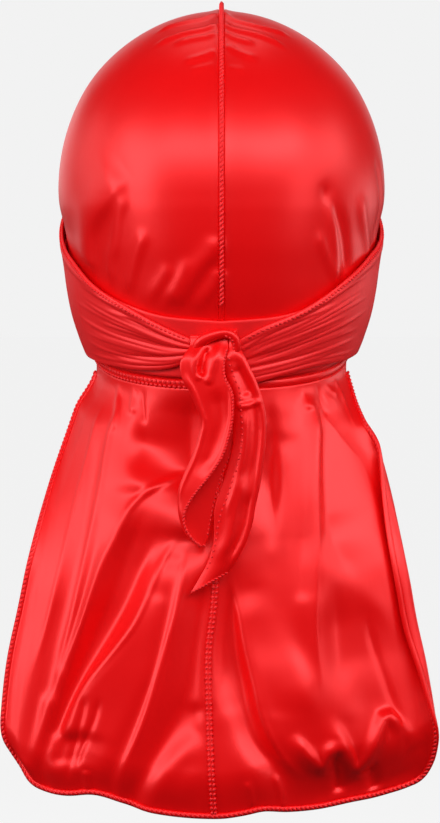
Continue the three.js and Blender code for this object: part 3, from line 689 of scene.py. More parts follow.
# The crown
CROWN_FOLDS = folds("""
1.3 2 2.4, -6 1.2, -17.8 2.8, -39.2 4.2, -56 6.4;
1.3 2 2.4, -5 4.5, -11 5.8, -28.8 7.4, -43.5 10.8;
1 1.8 2.2, -4 7, -7.5 7.8, -18 8.6, -30 10.2;
1 1.6 2, -3 12, -6 12.8, -12 13.8, -19 15;
.5 1.6 2, -3 15.8, -5.5 16.2, -10 16.7, -15.5 17.4;
1.3 2 2.4, 3 1.2, 5.8 2.8, 35.2 5.6, 53.5 7.6;
1.3 2 2.4, 2.5 4.5, 4 5.6, 25.8 7.8, 40 11.4;
.9 1.8 2.2, 2.5 7.2, 3.5 7.8, 12 9, 20 10;
1 1.8 2.2, 2.5 10.6, 4.5 11.4, 11 13, 18.8 14.5;
.5 1.6 2, 2.5 16.5, 4.8 17, 7 17.1, 11.2 17.4;
2.6 15 5, -34 44, -41.2 50.2, -51.5 57.4, -55.8 65.2, -56.5 76;
1.1 4 3.2, -33 49, -37.5 54, -41.5 63.2, -44.5 68.2, -46.5 79;
1 3.6 3, -27 59, -31.2 64.8, -35.2 71.6, -39.2 80;
.8 3.4 3, -18 68, -21.8 72.2, -25.2 75.4, -30.2 81;
.8 3.4 3, -11 66, -14.8 71.6, -20.8 78.8, -23 82;
1.5 5 3.4, -1.5 60, -2.8 64.6, -8.5 69.4, -15 76.4, -18 81;
1.1 4 3, -.8 69, -1.6 72.6, -6.2 77.4, -9 82;
-1.4 3 4.5, 36 46, 40.5 52, 48 59.6, 52.8 68.4, 54 74;
1.2 3.6 3, 39 49, 41.8 55.2, 45 63.8, 48.2 72.6, 50 78;
.8 3 2.6, 36 59, 39 63.4, 43 68.2, 46.5 72, 48 76;
1.1 4.5 4, 56 49, 59.5 55.4, 64 60, 68.2 64.2, 70 70;
-.8 4 4, 70 40, 74 47, 77 56, 76 66
""", 1, PERCENT)
crown_folds = fold_lines(CROWN_FOLDS, lambda angle, down: on_head(angle, down * NAPE_DROP, 0.0)[0])
FOLD_FADE = 14.0
FOLD_END = 120.0
FOLD_END_FADE = 30.0
DOME_RUN = DOME_HEIGHT * math.pi / 2
CROWN_COLUMNS = 150
CROWN_ROWS = 150
COLUMNS_AT_SEAM = 0.7
ROWS_AT_TOP = 0.9
SEAM_PULL = 0.9
SIDE_FULLNESS = 1.7
FULL_FROM = 40.0
FULL_TO = 88.0
FULL_FADE = 22.0
SEAM_PULL_REACH = 4.0


def crown_drop(angle, share):
    """Drop at a share of the way from the top to the crown's edge, even along the dome's curve."""
    edge = crown_edge_drop(angle)
    whole = np.where(edge < DOME_HEIGHT,
                     np.arccos(np.clip(1 - edge / DOME_HEIGHT, -1, 1)) / (math.pi / 2),
                     1 + (edge - DOME_HEIGHT) / DOME_RUN)
    run = whole * share
    return np.where(run < 1, DOME_HEIGHT * (1 - np.cos(np.minimum(run, 1) * math.pi / 2)),
                    DOME_HEIGHT + (run - 1) * DOME_RUN)


def crown_panel(side):
    share = shares(CROWN_COLUMNS)
    angle = side * 180 * share * mix(COLUMNS_AT_SEAM, 1, share)
    down = shares(CROWN_ROWS) ** ROWS_AT_TOP
    angle, down = np.meshgrid(angle, down)
    drop = crown_drop(angle, down)
    at, out = on_head(angle, drop, 0.0)
    strap_top = along(INNER_STRAP, np.abs(angle), "top")
    free = ease((strap_top - drop / NAPE_DROP) * FOLD_FADE) * ease((FOLD_END - np.abs(angle)) / FOLD_END_FADE)
    pull = SEAM_PULL * np.exp(-(at[..., 0] / SEAM_PULL_REACH) ** 2)
    level = ease(drop / FULL_FROM) * (1 - ease((drop - FULL_TO) / FULL_FADE))
    full = SIDE_FULLNESS * np.sin(np.radians(angle)) ** 4 * level
    lift = PACKED_CLOTH / 2 + full + free * (fold_height(crown_folds, at, out) + pull)
    at = at + out * lift[..., None]
    at[..., 0] = side * np.hypot(at[..., 0], RIB_WIDTH / 2 + GAP)
    return at, out


for name, side in (("left", -1), ("right", 1)):
    at, out = crown_panel(side)
    panel = dress(cloth_wall("satin_crown_" + name, at, out, satin), "crown_" + name)

RIB_PROFILE = table("""
run height
0 0
.08 0
.12 .28
.3 .42
.5 .7
.6 1
.7 .8
.82 .4
.88 0
1 0
""")
TOP_RUN = 0.6
RIB_STEPS = 260
RIB_THREAD = slice(int(0.1 * RIB_STEPS), int(0.56 * RIB_STEPS))
RIB_THREAD_LIFT = 0.15


def crown_rib_line():
    """The middle line of the raised seam on the head form, its way out and its height."""
    run = shares(RIB_STEPS)
    behind = run < TOP_RUN
    share = np.where(behind, 1 - run / TOP_RUN, (run - TOP_RUN) / (1 - TOP_RUN))
    angle = np.where(behind, 0.0, 180.0)
    at, out = on_head(angle, crown_drop(angle, share), 0.0)
    height = PACKED_CLOTH + RIB_HEIGHT * np.maximum(along(RIB_PROFILE, run, "height"), 0.0)
    return at, out, height


at, out, height = crown_rib_line()
side = np.broadcast_to(np.array([1.0, 0.0, 0.0]), at.shape)
line = at + out * (height / 2)[:, None]
rib = bead("satin_crown_seam", line, side, out, RIB_WIDTH / 2, height / 2 + BEAD_EASE, satin, count=16)
dress(rib, "crown_seam")
line = at + out * (height + RIB_THREAD_LIFT)[:, None]
rope("crown_seam_thread", line[RIB_THREAD], out[RIB_THREAD], 1.7)


def crown_edge(angle):
    turned = np.where(np.abs(angle) > 180, 360 - np.abs(angle), np.abs(angle))
    return on_head(angle, crown_edge_drop(turned), PACKED_CLOTH / 2)


front_angle = NAPE_ANGLE + HEM_ANGLE_GAP
edge, out = crown_edge(np.linspace(front_angle, 360 - front_angle, 240))
line, beyond = edge_line(edge, out, EDGE_GAP + HEM_WIDTH / 2)
hem = bead("front_hem_bead", line, beyond, out, HEM_WIDTH / 2 + BEAD_EASE, HEM_THICKNESS / 2, satin)
dress(hem, "front_hem")
rope("front_hem_thread", line + out * HEM_THICKNESS * 0.45, out, 1.3)

edge, out = crown_edge(np.linspace(-NAPE_ANGLE, NAPE_ANGLE, 300))
line, beyond = edge_line(edge, out, EDGE_GAP + SEAM_HEIGHT / 2)
band = bead("nape_seam_band", line, beyond, out, SEAM_HEIGHT / 2 + NAPE_SEAM_EASE, SEAM_THICKNESS / 2, satin)
dress(band, "nape_seam")
LEFT_OF_KNOT = slice(0, 142)
for row, reach in (("upper", -0.9), ("lower", 1.3)):
    picots = line + beyond * reach + out * SEAM_THICKNESS * 0.45
    rope("nape_seam_picots_" + row, picots[LEFT_OF_KNOT], out[LEFT_OF_KNOT], 1.0, pitch=2.6, slant=0.5)

# The straps
LEFT_PLEATS = creases("""
10 11 1.5, 9 24 1.7, 6.5 40 1.8, 5.5 60 1.8, 5 90 1.2, 5 125 .6;
24 11 -.2, 20 24 -.3, 13 40 -.3, 11.5 60 -.2, 11 90 0, 12 125 0;
34 11 1.4, 28 24 1.3, 22 40 1.1, 20 58 .5;
42 11 -.2, 45 29 -.3, 49 48 -.1, 50 66 0;
52 11 1.4, 61 25 1.7, 69 39 1.5, 76 64 .8, 78 80 .2;
62 11 0, 72 29 -.2, 80 43 -.1, 84 62 .1;
74 11 1.3, 82 28 1.3, 87 41 1.2, 88 64 .6, 88 84 .2;
86 11 0, 90 28 0, 93 41 0, 93 62 .2;
95 11 1.2, 96 28 1.1, 97.5 41 1, 97.5 64 .6
""", PERCENT, 1, 1)
RIGHT_PLEATS = creases("""
6 7 1.2, 6 20 1.5, 6 40 1.7, 5.5 60 1.7, 5 90 1.2, 5 125 .6;
13 7 -.2, 13 20 -.2, 12.5 40 -.3, 11.5 60 -.2, 11 90 0, 12 125 0;
20 7 1.1, 20 22 1.3, 22 40 1, 24 58 .4;
28 7 -.1, 30 25 0, 31 45 .1;
36 7 1.3, 42 22 1.7, 42 36 1.5, 40 52 .9, 40 70 .3;
46 7 -.2, 52 18 -.4, 57 32 -.4, 60 50 0;
55 7 1.1, 62 18 1.3, 68 33 1.3, 71 54 .7, 72 70 .2;
64 7 -.1, 70 18 -.2, 74.5 33 -.2, 76 50 0;
74 7 1.2, 78 18 1.4, 83 34 1.3, 83 62 .6, 83 80 .2;
84 7 0, 88 20 -.1, 90 40 0, 90 60 .1;
94 7 1.2, 95 20 1.4, 96 40 1.3, 96 66 .8, 96 90 .3
""", PERCENT, 1, 1)
PLEAT_SHARE = 0.6
STREAKS = 19
STREAK_HEIGHT = 0.36
STREAK_WIDTH = 0.8
STREAK_END = 60.0
STRAP_COLUMNS = 340
STRAP_ROWS = 76
COLUMNS_AT_KNOT = 0.45
LOWEST_PLEAT = -0.3
STRAP_SOFT = (1.6, 1.2)
TUCK_TURN = 150.0
TUCK_REACH = 30.0
HUG = 1.3
HUG_PLACE = 0.1
HUG_START = 52.0
HUG_END = 140.0
HUG_REACH = 18.0
EDGE_STITCHES = slice(12, 215)
EDGE_STITCH_ROW = 2


def strap_surface(rows, side, turn, place):
    """Points midway in a strap, and the ways out of it, at a turn from the back and a place down it."""
    top = along(rows, turn, "top")
    bottom = along(rows, turn, "bottom")
    layer = along(rows, turn, "layer")
    return on_head(side * turn, NAPE_DROP * mix(top, bottom, place),
                   STRAP_EASE + LAYER * (1 + layer) + PACKED_CLOTH / 2)


def strap_streaks(start):
    """Fine pulled lines that run together towards the knot."""
    streaks = []
    for i in range(STREAKS):
        share = (i + 0.5) / STREAKS
        wander = 0.03 * math.sin(5.1 * i)
        end = STREAK_END + 12 * math.sin(2.3 * i)
        height = STREAK_HEIGHT * (1.0 + 0.5 * math.sin(3.7 * i))
        path = ((start - 3, mix(0.12, 0.9, share)), (mix(start, end, 0.4), share + wander),
                (end, mix(0.1, 0.98, share)))
        streaks.append(fold(height, STREAK_WIDTH, STREAK_WIDTH, *path))
    return streaks


def outer_strap(rows, side, pleats):
    """The last pass of a strap with its pleats and streaks, smooth where it tucks in at the front."""
    share = shares(STRAP_COLUMNS)
    turns = mix(rows["turn"][0], rows["turn"][-1], share * mix(COLUMNS_AT_KNOT, 1, share))
    places = shares(STRAP_ROWS)
    turn, place = np.meshgrid(turns, places)
    at, out = strap_surface(rows, side, turn, place)
    tucked = ease((turn - TUCK_TURN) / TUCK_REACH)
    pleated = PLEAT_SHARE * soften(crease_field(pleats, places, turns, STREAK_END / 3).T, *STRAP_SOFT)
    streaks = fold_lines(strap_streaks(rows["turn"][0]), lambda *place: strap_surface(rows, side, *place)[0])
    height = np.maximum(pleated + fold_height(streaks, at, out), LOWEST_PLEAT) * (1 - tucked)
    beside = ease((turn - HUG_START) / HUG_REACH) * ease((HUG_END - turn) / HUG_REACH)
    height = height - HUG * beside * ease(1 - place / HUG_PLACE)
    return at + out * height[..., None], out


for name, side, rows, pleats in (("left", -1, LEFT_STRAP, LEFT_PLEATS),
                                 ("right", 1, RIGHT_STRAP, RIGHT_PLEATS)):
    at, out = outer_strap(rows, side, pleats)
    wrap = dress(cloth_wall("satin_outer_wrap_" + name, at, out, pulled_satin_painted_sheen), "outer_wrap_" + name)
    edge = (EDGE_STITCH_ROW, EDGE_STITCHES)
    rope("wrap_edge_thread_" + name, (at + out * CLOTH * 0.75)[edge], out[edge], 1.0, slant=0.5)

reach = INNER_STRAP["turn"][-1]
angle, place = np.meshgrid(reach * (2 * shares(280) - 1), shares(30))
top = along(INNER_STRAP, np.abs(angle), "top")
bottom = along(INNER_STRAP, np.abs(angle), "bottom")
at, out = on_head(angle, NAPE_DROP * mix(top, bottom, place), STRAP_EASE + LAYER + PACKED_CLOTH / 2)
wrap = dress(cloth_wall("satin_inner_wrap", at, out, pulled_satin_painted_sheen), "inner_wrap")

# The tail
TAIL_CREASES = creases("""
-87 0 .2, -85 6 1, -83 15 2, -83 30 2.6, -84 46 2.6, -86 59 2.2, -90 77 2, -94 100 1;
-80 6 .5, -78 16 .9, -77.5 30 1, -79 57 .6, -83 77 .3, -88 100 0;
-76 4 1, -73 17 2.4, -71 30 2.6, -73 56 2, -78 77 1.4;
-65 34 1.6, -69 56 .4, -73.5 70 .4;
-68 0 .2, -66 6 .4, -62 13 .6, -60 20 .6, -58 26 .2;
-62 2 -.4, -58 8 -3.4, -56 14 -6, -53 20 -7.6, -46 25 -5;
-25 0 -.5, -24 5 -3.6, -22 11 -6.8, -20 17 -9.2, -18 20.5 -9.4, -17 26 -4.4, -17 34 -1.2;
-36 20 -7, -46 26 .2, -52 31 2.8, -57 39 4.6, -61 45 5.6, -66 56 5.6, -70 65 5, -74 73 4.4, -79 83 3.6,
    -86 93 2.6, -90 100 1.6;
-38 24 -.6, -46 33 -1.6, -53 43 -2.8, -57.5 53 -3.6, -64 64 -3.8, -70 73 -3.2, -75.5 82 -2.6, -81 91 -2,
    -86 100 -1;
-30 29 -1, -36 36 -2.8, -41 43 -4.8, -46 51 -5.4, -51.5 59 -5.4, -57 66 -4.8, -63.5 74 -3.8, -71 84 -2.4,
    -76 93 -1.4;
-26 31 -.6, -33 43.5 1.8, -38.5 55.7 4.2, -50 66.2 4.6, -60 73.5 4, -67 80 3, -75 90 1.8, -79 100 1;
-29 50 2.8, -27.5 60 3.2, -29 68 3, -38 78 2.4, -47 88 2, -55 100 1;
-19 40 -.5, -22 48 -.4, -23.5 56 .2, -25 64 .4, -30 74 .2, -37 84 -.4, -50 100 -.8;
-14 32 .4, -16 40 2.6, -18 50 4, -20.5 60 4.4, -25 69 4.4, -30 77 4.2, -37 86 3.4, -48 100 1.6;
-6 38 -1, -5 48 -3, -5 59 -3.6, -8 70 -3.8, -15 78 -4, -26 88 -3.4, -40 100 -2;
-4 75 -.5, -11 84 2.6, -22 92 2.8, -32 100 1.6;
-4 80 -1, -8 88 -.8, -18 97 -.6;
-3 82 .2, -10 92 2, -14 100 1.2;
0 0 0, 0 40 -.4, 0 60 .6, 0 80 .4, 0 100 0;
2 40 -.6, 2.8 50 -3.6, 3.5 60 -4.8, 4 70 -4.4, 5 80 -2.4;
6 76 -.6, 11 84 2.4, 18 93 2.8, 23 100 1.4;
5 38 -.6, 7 46 -3.8, 9 52 -5.4, 12 60 -6, 15 69 -5.8, 16.5 77 -4.8, 20 85 -3.6, 29 92 -2.4, 38 100 -1;
7 40 -.6, 11 49 -.4, 15 58 .8, 18.5 67 2.8, 21 76 4.4, 26 85 4.6, 35 91 3.6, 46 97 1;
17 47 -1.2, 21 60 .6, 24 69 3.4, 29 78 5.4;
36 0 .6, 38 6 1.6, 40 12 1;
28 2 -.5, 26 12 -3.4, 27 20 -4.6, 27 28 -4.2, 22 36 -2.4;
23 32 -1, 27 42 -.4, 31 52 .4, 35 60 2.6, 39 68 5.8, 43 76 7.6, 47 86 5;
46 3 0, 41 13 .6, 38 27 1, 37 37 1.2, 39 45 1.6, 40.5 53 2, 43 61 2.4, 46 70 2.6;
60 0 .2, 52 12 1, 47 24 1.6, 45 35 1.6, 43 50 1.6;
72 0 1.8, 62 12 6.4, 56 24 7.8, 53 34 7.4, 50 45 6.4, 49 56 6.2, 49.5 68 5.6, 50 78 4.6, 52 87 3.2,
    57 96 1.2;
78 0 0, 68 12 -2.2, 61.5 24 -1.6, 59 34 0, 56 45 1.4;
57.5 44 0, 60 55 0, 60 67 .4, 59 80 1;
58 30 .6, 64 41 2, 73 48 2.8, 83 57 2.4, 93 68 1.2;
66 48 .8, 76 57 .7, 86 67 .5;
70 64 .8, 69 74 1.2, 68 82 1.4, 69 90 1;
76 0 .6, 85 7 2.6, 87 16 3.4, 88 26 3.4, 87 40 3.2, 89 50 2.6, 93 60 1.2
""", PERCENT, PERCENT, 1)
TAIL_FOLDS = folds("""
.9 2 1.6, -20 18.5, -30 21.5, -42 25, -51 30, -56.5 38.5, -62 47, -67 60, -74 74;
.9 2 1.6, -20 34, -29 41, -34.5 50, -40 58, -50 66, -63 76, -72 87;
.8 1.8 1.4, -15 36, -16.5 45, -19 56, -25 69, -33 82, -46 98;
.9 1.6 1.6, 5.5 42, 11 51, 15.5 60, 19 70, 22.5 80, 30 88, 42 94;
.5 2 1.4, 73 2, 62 13, 56 25, 53 35, 50 46, 49 60, 50 74;
.6 1.8 1.8, -76 5, -73 18, -71 30, -73 56, -78 74;
.5 1.8 1.8, -87 6, -84 18, -83.5 35, -85 55, -89 74;
-1 2.2 2.2, -60 76, -62 82.3, -66 90, -70.5 97.8;
-.9 2 2, -53 76, -56 83, -62 90, -66 96;
-.7 2.2 2.2, 76 56, 77.5 64.7, 80.5 75.3, 84.5 85.5, 87 95;
3.2 4.4 3, 52 78, 55 84, 60 90, 64 92.5, 68 90, 72 85, 77 81, 83 84, 88 89;
2.6 3.6 3, 34 82, 40 87, 47 90.5, 50 88, 53 84;
-2.4 3.4 3.4, 53 87, 56 93, 60 99;
-1.8 3.6 3.6, 70 92, 74 96, 78 100;
.9 1.8 1.8, -82 0, -80 4, -74 9, -72 13;
.9 1.8 1.8, -70 0, -68 4, -64 8;
-.8 1.8 1.8, -62 0, -60 5, -55 10;
1 1.8 1.8, 62 0, 64 3, 63 7;
1.1 1.8 1.8, 81 0, 85 3, 89 5;
-1 1.8 1.8, 75 0, 77 4, 76 9;
1 1.8 1.8, 90 0, 92 4, 93 10, 93 20;
-.9 3.2 3, 65 0, 57 12, 52 22, 48.5 34, 46 44;
-1.2 3.8 3.4, 37 0, 34.5 10, 32.5 20, 30 30, 28 40;
.8 1.6 1.6, 14 93, 16 97, 17 100;
.9 1.8 1.8, 26 92, 30 97, 32 101;
.9 2 2, -60 95, -63 101
""", PERCENT, PERCENT)
FIELD_COLUMNS = 401
FIELD_ROWS = 301
CREASE_FADE = 0.15
FIELD_SOFT = (3.0, 4.5)
field = crease_field(TAIL_CREASES, np.linspace(-1.0, 1.0, FIELD_COLUMNS), shares(FIELD_ROWS), CREASE_FADE)
tail_field = soften(field, *FIELD_SOFT)
tail_folds = fold_lines(TAIL_FOLDS, tail_point)
NAPE_FREE = 16.0
SEAM_FREE = 16.0
SIDE_FREE = 14.0
LEFT_FOOT_TURN = 7.0
RIGHT_FOOT_TURN = 11.0
LEFT_TURN_START = 0.9
RIGHT_TURN_START = 0.86
TURN_REACH = 0.15
LEFT_TO = 0.1
LEFT_TO_RIGHT = 0.5


def read_field(field, across, down):
    """The height of a grid at places on the tail, even between its points."""
    column = (np.clip(across, -1, 1) + 1) / 2 * (FIELD_COLUMNS - 1)
    row = np.clip(down, 0, 1) * (FIELD_ROWS - 1)
    i = np.minimum(row.astype(int), FIELD_ROWS - 2)
    j = np.minimum(column.astype(int), FIELD_COLUMNS - 2)
    upper = mix(field[i, j], field[i, j + 1], column - j)
    lower = mix(field[i + 1, j], field[i + 1, j + 1], column - j)
    return mix(upper, lower, row - i)


def tail_sheet(across, down):
    """The tail's mid surface with its folds, the way out of it and the way to the right."""
    across, down = np.broadcast_arrays(across, down)
    at = tail_point(across, down)
    right = unit(tail_point(across + STEP, down) - tail_point(across - STEP, down))
    under = unit(tail_point(across, np.minimum(down + STEP, 1))
                 - tail_point(across, np.maximum(down - STEP, 0)))
    out = unit(np.cross(under, right))
    free = ease(down * NAPE_FREE) * ease((1 - np.abs(across)) * SIDE_FREE)
    crisp = fold_height(tail_folds, at, out) * ease(np.abs(across) * SEAM_FREE)
    to_right = ease((across - LEFT_TO) / LEFT_TO_RIGHT)
    turned = ease((down - mix(LEFT_TURN_START, RIGHT_TURN_START, to_right)) / TURN_REACH)
    foot = mix(LEFT_FOOT_TURN, RIGHT_FOOT_TURN, to_right) * turned
    height = free * (read_field(tail_field, across, down) + crisp) - foot
    return at + out * height[..., None], out, right


FLAT_SHARE = 0.7


def tail_face(side, share, down):
    """The left or right panel's mid surface; the right one rolls over at its edge."""
    share, down = np.broadcast_arrays(share, down)
    beside = side * (TAIL_SEAM_WIDTH / 2 + GAP)
    if side < 0:
        at, out, right = tail_sheet(-share, down)
        at[..., 0] += beside * (1 - share)
        return at, out
    turn = math.pi * along(TAIL_OUTLINE, down, "roll")
    radius = EDGE_ROLL / turn
    reach = TAIL_HALF_WIDTH * along(TAIL_OUTLINE, down, "right")
    roll_start = 1 - radius * np.sin(np.minimum(turn, math.pi / 2)) / reach
    at, out, right = tail_sheet(roll_start * np.minimum(share / FLAT_SHARE, 1), down)
    at[..., 0] += beside * np.maximum(1 - share / FLAT_SHARE, 0)
    past = np.maximum((share - FLAT_SHARE) / (1 - FLAT_SHARE), 0)
    angle = turn * past
    curled = (at + right * (radius * np.sin(angle))[..., None]
              + out * (radius * ROLL_FLATTEN * (1 - np.cos(angle)))[..., None])
    bent = unit(out * np.cos(angle)[..., None] - right * (ROLL_FLATTEN * np.sin(angle))[..., None])
    flat_at, flat_out, right = tail_sheet(mix(roll_start, 1, past), down)
    rolled = ease(3 * turn / math.pi)[..., None]
    over = (past > 0)[..., None]
    return (np.where(over, mix(flat_at, curled, rolled), at),
            np.where(over, unit(mix(flat_out, bent, rolled)), out))


TAIL_COLUMNS = 180
TAIL_ROWS = 224
TAIL_SEAM_STEPS = 220
for name, side in (("left", -1), ("right", 1)):
    share, down = np.meshgrid(shares(TAIL_COLUMNS), shares(TAIL_ROWS))
    at, out = tail_face(side, share, down)
    panel = dress(cloth_wall("satin_tail_" + name, at, out, satin), "tail_" + name)

at, out, right = tail_sheet(0.0, shares(TAIL_SEAM_STEPS))
seam_half = TAIL_SEAM_WIDTH / 2 + BEAD_EASE
seam = bead("satin_tail_seam", at + out * CLOTH / 2, right, out, seam_half, TAIL_SEAM_RISE, satin)
dress(seam, "tail_seam")
for row, reach in (("left", -0.8), ("right", 0.8)):
    rope("tail_seam_picots_" + row, at + right * reach + out * 1.3, out, 0.9, pitch=2.4, slant=0.5)

HEM_START = 0.02
HEM_SIDE_STEPS = 200
HEM_FOOT_STEPS = 120
HEM_SMOOTH = 7


def hem_stops():
    """The edge of the whole tail, down its left side, along its foot and up its right side."""
    rows = np.linspace(HEM_START, 1.0, HEM_SIDE_STEPS)
    foot = shares(HEM_FOOT_STEPS)
    parts = [tail_face(-1, 1.0, rows), tail_face(-1, foot[::-1], 1.0), tail_face(1, foot, 1.0),
             tail_face(1, 1.0, rows[::-1])]
    at = np.concatenate([part[0][1:] for part in parts])
    out = np.concatenate([part[1][1:] for part in parts])
    return at, out


edge, out = hem_stops()
edge, out = resample(edge, 1.0, out)
line, beyond = edge_line(edge, out, TAIL_HEM_WIDTH / 2)
even = np.ones(HEM_SMOOTH) / HEM_SMOOTH
padded = np.pad(line, ((HEM_SMOOTH // 2, HEM_SMOOTH // 2), (0, 0)), mode="edge")
line = np.stack([np.convolve(padded[:, i], even, mode="valid") for i in range(3)], axis=-1)
hem = bead("satin_tail_hem", line, beyond, out, TAIL_HEM_WIDTH / 2, TAIL_HEM_THICKNESS / 2, satin)
dress(hem, "tail_hem")
rope("tail_hem_thread", line + out * TAIL_HEM_THICKNESS * 0.4, out, 1.4)

# The knot and the free ends
BACKWARD = np.array([0.0, -1.0, 0.0])
knot_seat = on_head(0.0, KNOT_DROP - KNOT_HEIGHT / 3, STRAP_EASE + 2 * LAYER + GAP)[0]


def knot_place(x, down, out):
    """Points from the knot: x and down as shares of the tie's width, out as a share of its depth."""
    x, down, out = np.broadcast_arrays(x, down, out)
    return np.stack([x * TIE_WIDTH, knot_seat[1] - out * KNOT_DEPTH, -KNOT_DROP - down * TIE_WIDTH], axis=-1)


KNOT_LOOP = table("""
x down out half
-.52 .1 .5 1.6
-.5 -.06 .9 2.2
-.36 -.22 1.35 2.7
-.12 -.33 1.6 2.5
.1 -.36 1.6 2.2
.25 -.26 1.45 2
.3 -.08 1.2 2
.22 .08 .9 2.3
.1 .2 .6 2
""")
KNOT_CORE = table("""
x down out half
-.5 .05 .35 2
-.3 -.08 .6 4.2
-.05 -.1 .7 5
.15 -.06 .6 4.4
.28 .02 .35 2
""")
KNOT_STEPS = 110
KNOT_END_STEPS = 6.0
BAND_FLATTEN = 0.85
CORE_FLATTEN = 0.45


def knot_band(name, rows, flatten):
    """A rounded band of cloth along the places of a table, with its own half width at each."""
    path = smooth_path(np.stack([rows["x"], rows["down"], rows["out"], rows["half"]], axis=-1), KNOT_STEPS)
    centres = knot_place(path[:, 0], path[:, 1], path[:, 2])
    tangent = unit(np.gradient(centres, axis=0))
    deep = unit(BACKWARD + tangent * tangent[:, 1:2])
    steps = np.arange(KNOT_STEPS + 1)
    ends = np.minimum(steps, steps[::-1]) / KNOT_END_STEPS
    half = path[:, 3] * np.sqrt(np.clip(ends, 0.05, 1.0))
    piece = bead(name, centres, np.cross(tangent, deep), deep, half, half * flatten, satin, count=24)
    return piece, centres, deep, half


knot, centres, deep, half = knot_band("satin_knot", KNOT_LOOP, BAND_FLATTEN)
dress(knot, "knot")
core = knot_band("satin_knot_core", KNOT_CORE, CORE_FLATTEN)[0]
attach(core, "root")
edged = slice(int(0.5 * KNOT_STEPS), int(0.9 * KNOT_STEPS))
beside = np.cross(unit(np.gradient(centres, axis=0)), deep)
knot_edge = centres + beside * (half * 0.7)[:, None] + deep * (half * BAND_FLATTEN * 0.75)[:, None]
rope("knot_thread", knot_edge[edged], deep[edged], 0.8, pitch=1.7, slant=0.5)

LEFT_TIE = table("""
down front fold back curl
0 .12 -.6 -.15 .6
.075 .05 -.79 -.12 .8
.15 .06 -.78 -.08 .9
.225 .2 -.62 .03 1
.3 .22 -.49 .12 1
.38 .2 -.39 .17 1
.475 .11 -.47 .22 1
.55 0 -.57 .16 1.1
.635 -.22 -.72 .02 1.2
.71 -.46 -.83 -.07 1.2
.775 -.64 -.85 -.14 1.1
.835 -.74 -.84 -.19 1
.9 -.73 -.77 -.24 .8
.965 -.58 -.62 -.29 .6
1 -.42 -.45 -.34 .4
""")
LEFT_TIE_FOLDS = folds("""
.8 1.2 1.2, 10 12, 8 25, 8 50, 10 80;
-2.4 1.9 1.9, 50 0, 51 6, 50 11, 47 16;
1.1 1.5 1.3, 30 -4, 31 6, 36 13, 42 17;
1.2 1.6 1.6, 72 -4, 76 5, 74 10, 62 16, 47 19;
-1.5 3.4 3, 62 20, 62 35, 60 50, 58 66;
.9 .9 .9, 97 15, 97 35, 96 50, 95 68
""", PERCENT, PERCENT)
RIGHT_TIE = table("""
place left left_down right right_down
0 .1 .02 .3 0
.07 .09 .055 .46 .05
.14 .2 .11 .62 .11
.21 .32 .17 .74 .165
.28 .34 .235 .84 .235
.35 .37 .305 .87 .305
.42 .35 .385 .85 .385
.49 .25 .475 .8 .475
.57 .12 .56 .74 .555
.65 -.02 .64 .66 .63
.73 -.1 .71 .6 .7
.81 -.16 .79 .49 .77
.88 -.26 .865 .35 .83
.94 -.44 .935 .21 .88
1 -.62 1 .07 .915
""")
RIGHT_TIE_FOLDS = folds("""
1.2 1.5 1.4, 93 2, 93 20, 94 50, 93 80, 88 97;
-1.7 3 2.6, 55 2, 64 20, 68 40, 66 60;
-1.3 2.6 2.4, 45 10, 50 17, 52 24;
1.1 1.1 1.4, 10 27.5, 40 27, 70 26.2, 100 25;
.9 1.6 1.6, 38 28, 36 45, 36 70;
1.2 3 2.2, 50 50, 52 62, 45 76, 35 90;
-.9 2 2, 78 58, 76 74, 66 90
""", PERCENT, PERCENT)
TIE_TOP = 0.13
TIE_OUT = 1.1
TIE_CURL = 5.0
TIE_BULGE = 2.6
BULGE_START = 0.15
TIE_START = -0.05
LEFT_TIE_RISE = 5.4
RIGHT_TIE_RISE = 6.5
TIE_TUCK = 3.6
TUCK_END = 0.07
UNDERLAP = 0.13
UNDERLAP_END = 0.6
UNDERLAP_FADE = 0.2
TIE_ROWS = 180
LEFT_TIE_COLUMNS = 72
RIGHT_TIE_COLUMNS = 64
THREAD_LIFT = CLOTH * 0.6
FRONT_EDGE = slice(12, 150)
FOOT_EDGE_START = 150
INNER_EDGE = slice(100, 170)
EDGE_INSET = 3
DOT_INSET = 0.04


def tie_tuck(t):
    """How far a tie's top end dips back into the knot."""
    return TIE_TUCK * ease(1 - (t - TIE_START) / (TUCK_END - TIE_START))


def tie_grid(columns):
    """Places across a free end from 0 to 1, and down it from inside the knot."""
    return np.meshgrid(shares(columns), np.linspace(TIE_START, 1, TIE_ROWS))


def left_tie_place(x, t, turn):
    at = knot_place(x, TIE_TOP, TIE_OUT).copy()
    at[..., 1] += tie_tuck(t) - TIE_CURL * along(LEFT_TIE, t, "curl") * (1 + turn) / 2
    at[..., 2] += LEFT_TIE_RISE - t * TIE_LEFT_LENGTH
    return at


def left_tie_front(share, t):
    x = mix(along(LEFT_TIE, t, "fold"), along(LEFT_TIE, t, "front"), share)
    return left_tie_place(x, t, np.sqrt(np.maximum(share, 0)))


def left_tie():
    """The left free end, folded over its left edge; turn goes from 1 in front to -1 behind."""
    s, t = tie_grid(LEFT_TIE_COLUMNS)
    turn = np.cos(math.pi * s)
    edge = np.where(turn > 0, along(LEFT_TIE, t, "front"), along(LEFT_TIE, t, "back"))
    at = left_tie_place(mix(along(LEFT_TIE, t, "fold"), edge, turn ** 2), t, turn)
    height = fold_height(fold_lines(LEFT_TIE_FOLDS, left_tie_front), at, BACKWARD) * ease(3 * turn)
    at = at + BACKWARD * height[..., None]
    out = np.zeros_like(at)
    out[..., 1] = -np.sign(turn)
    out[..., 0] = -np.sqrt(np.maximum(1 - turn ** 2, 0))
    return at, unit(out)


def underlap(t):
    """How far the right free end reaches under the left one, as a share of the tie's width."""
    return UNDERLAP * (1 - ease((t - UNDERLAP_END) / UNDERLAP_FADE))


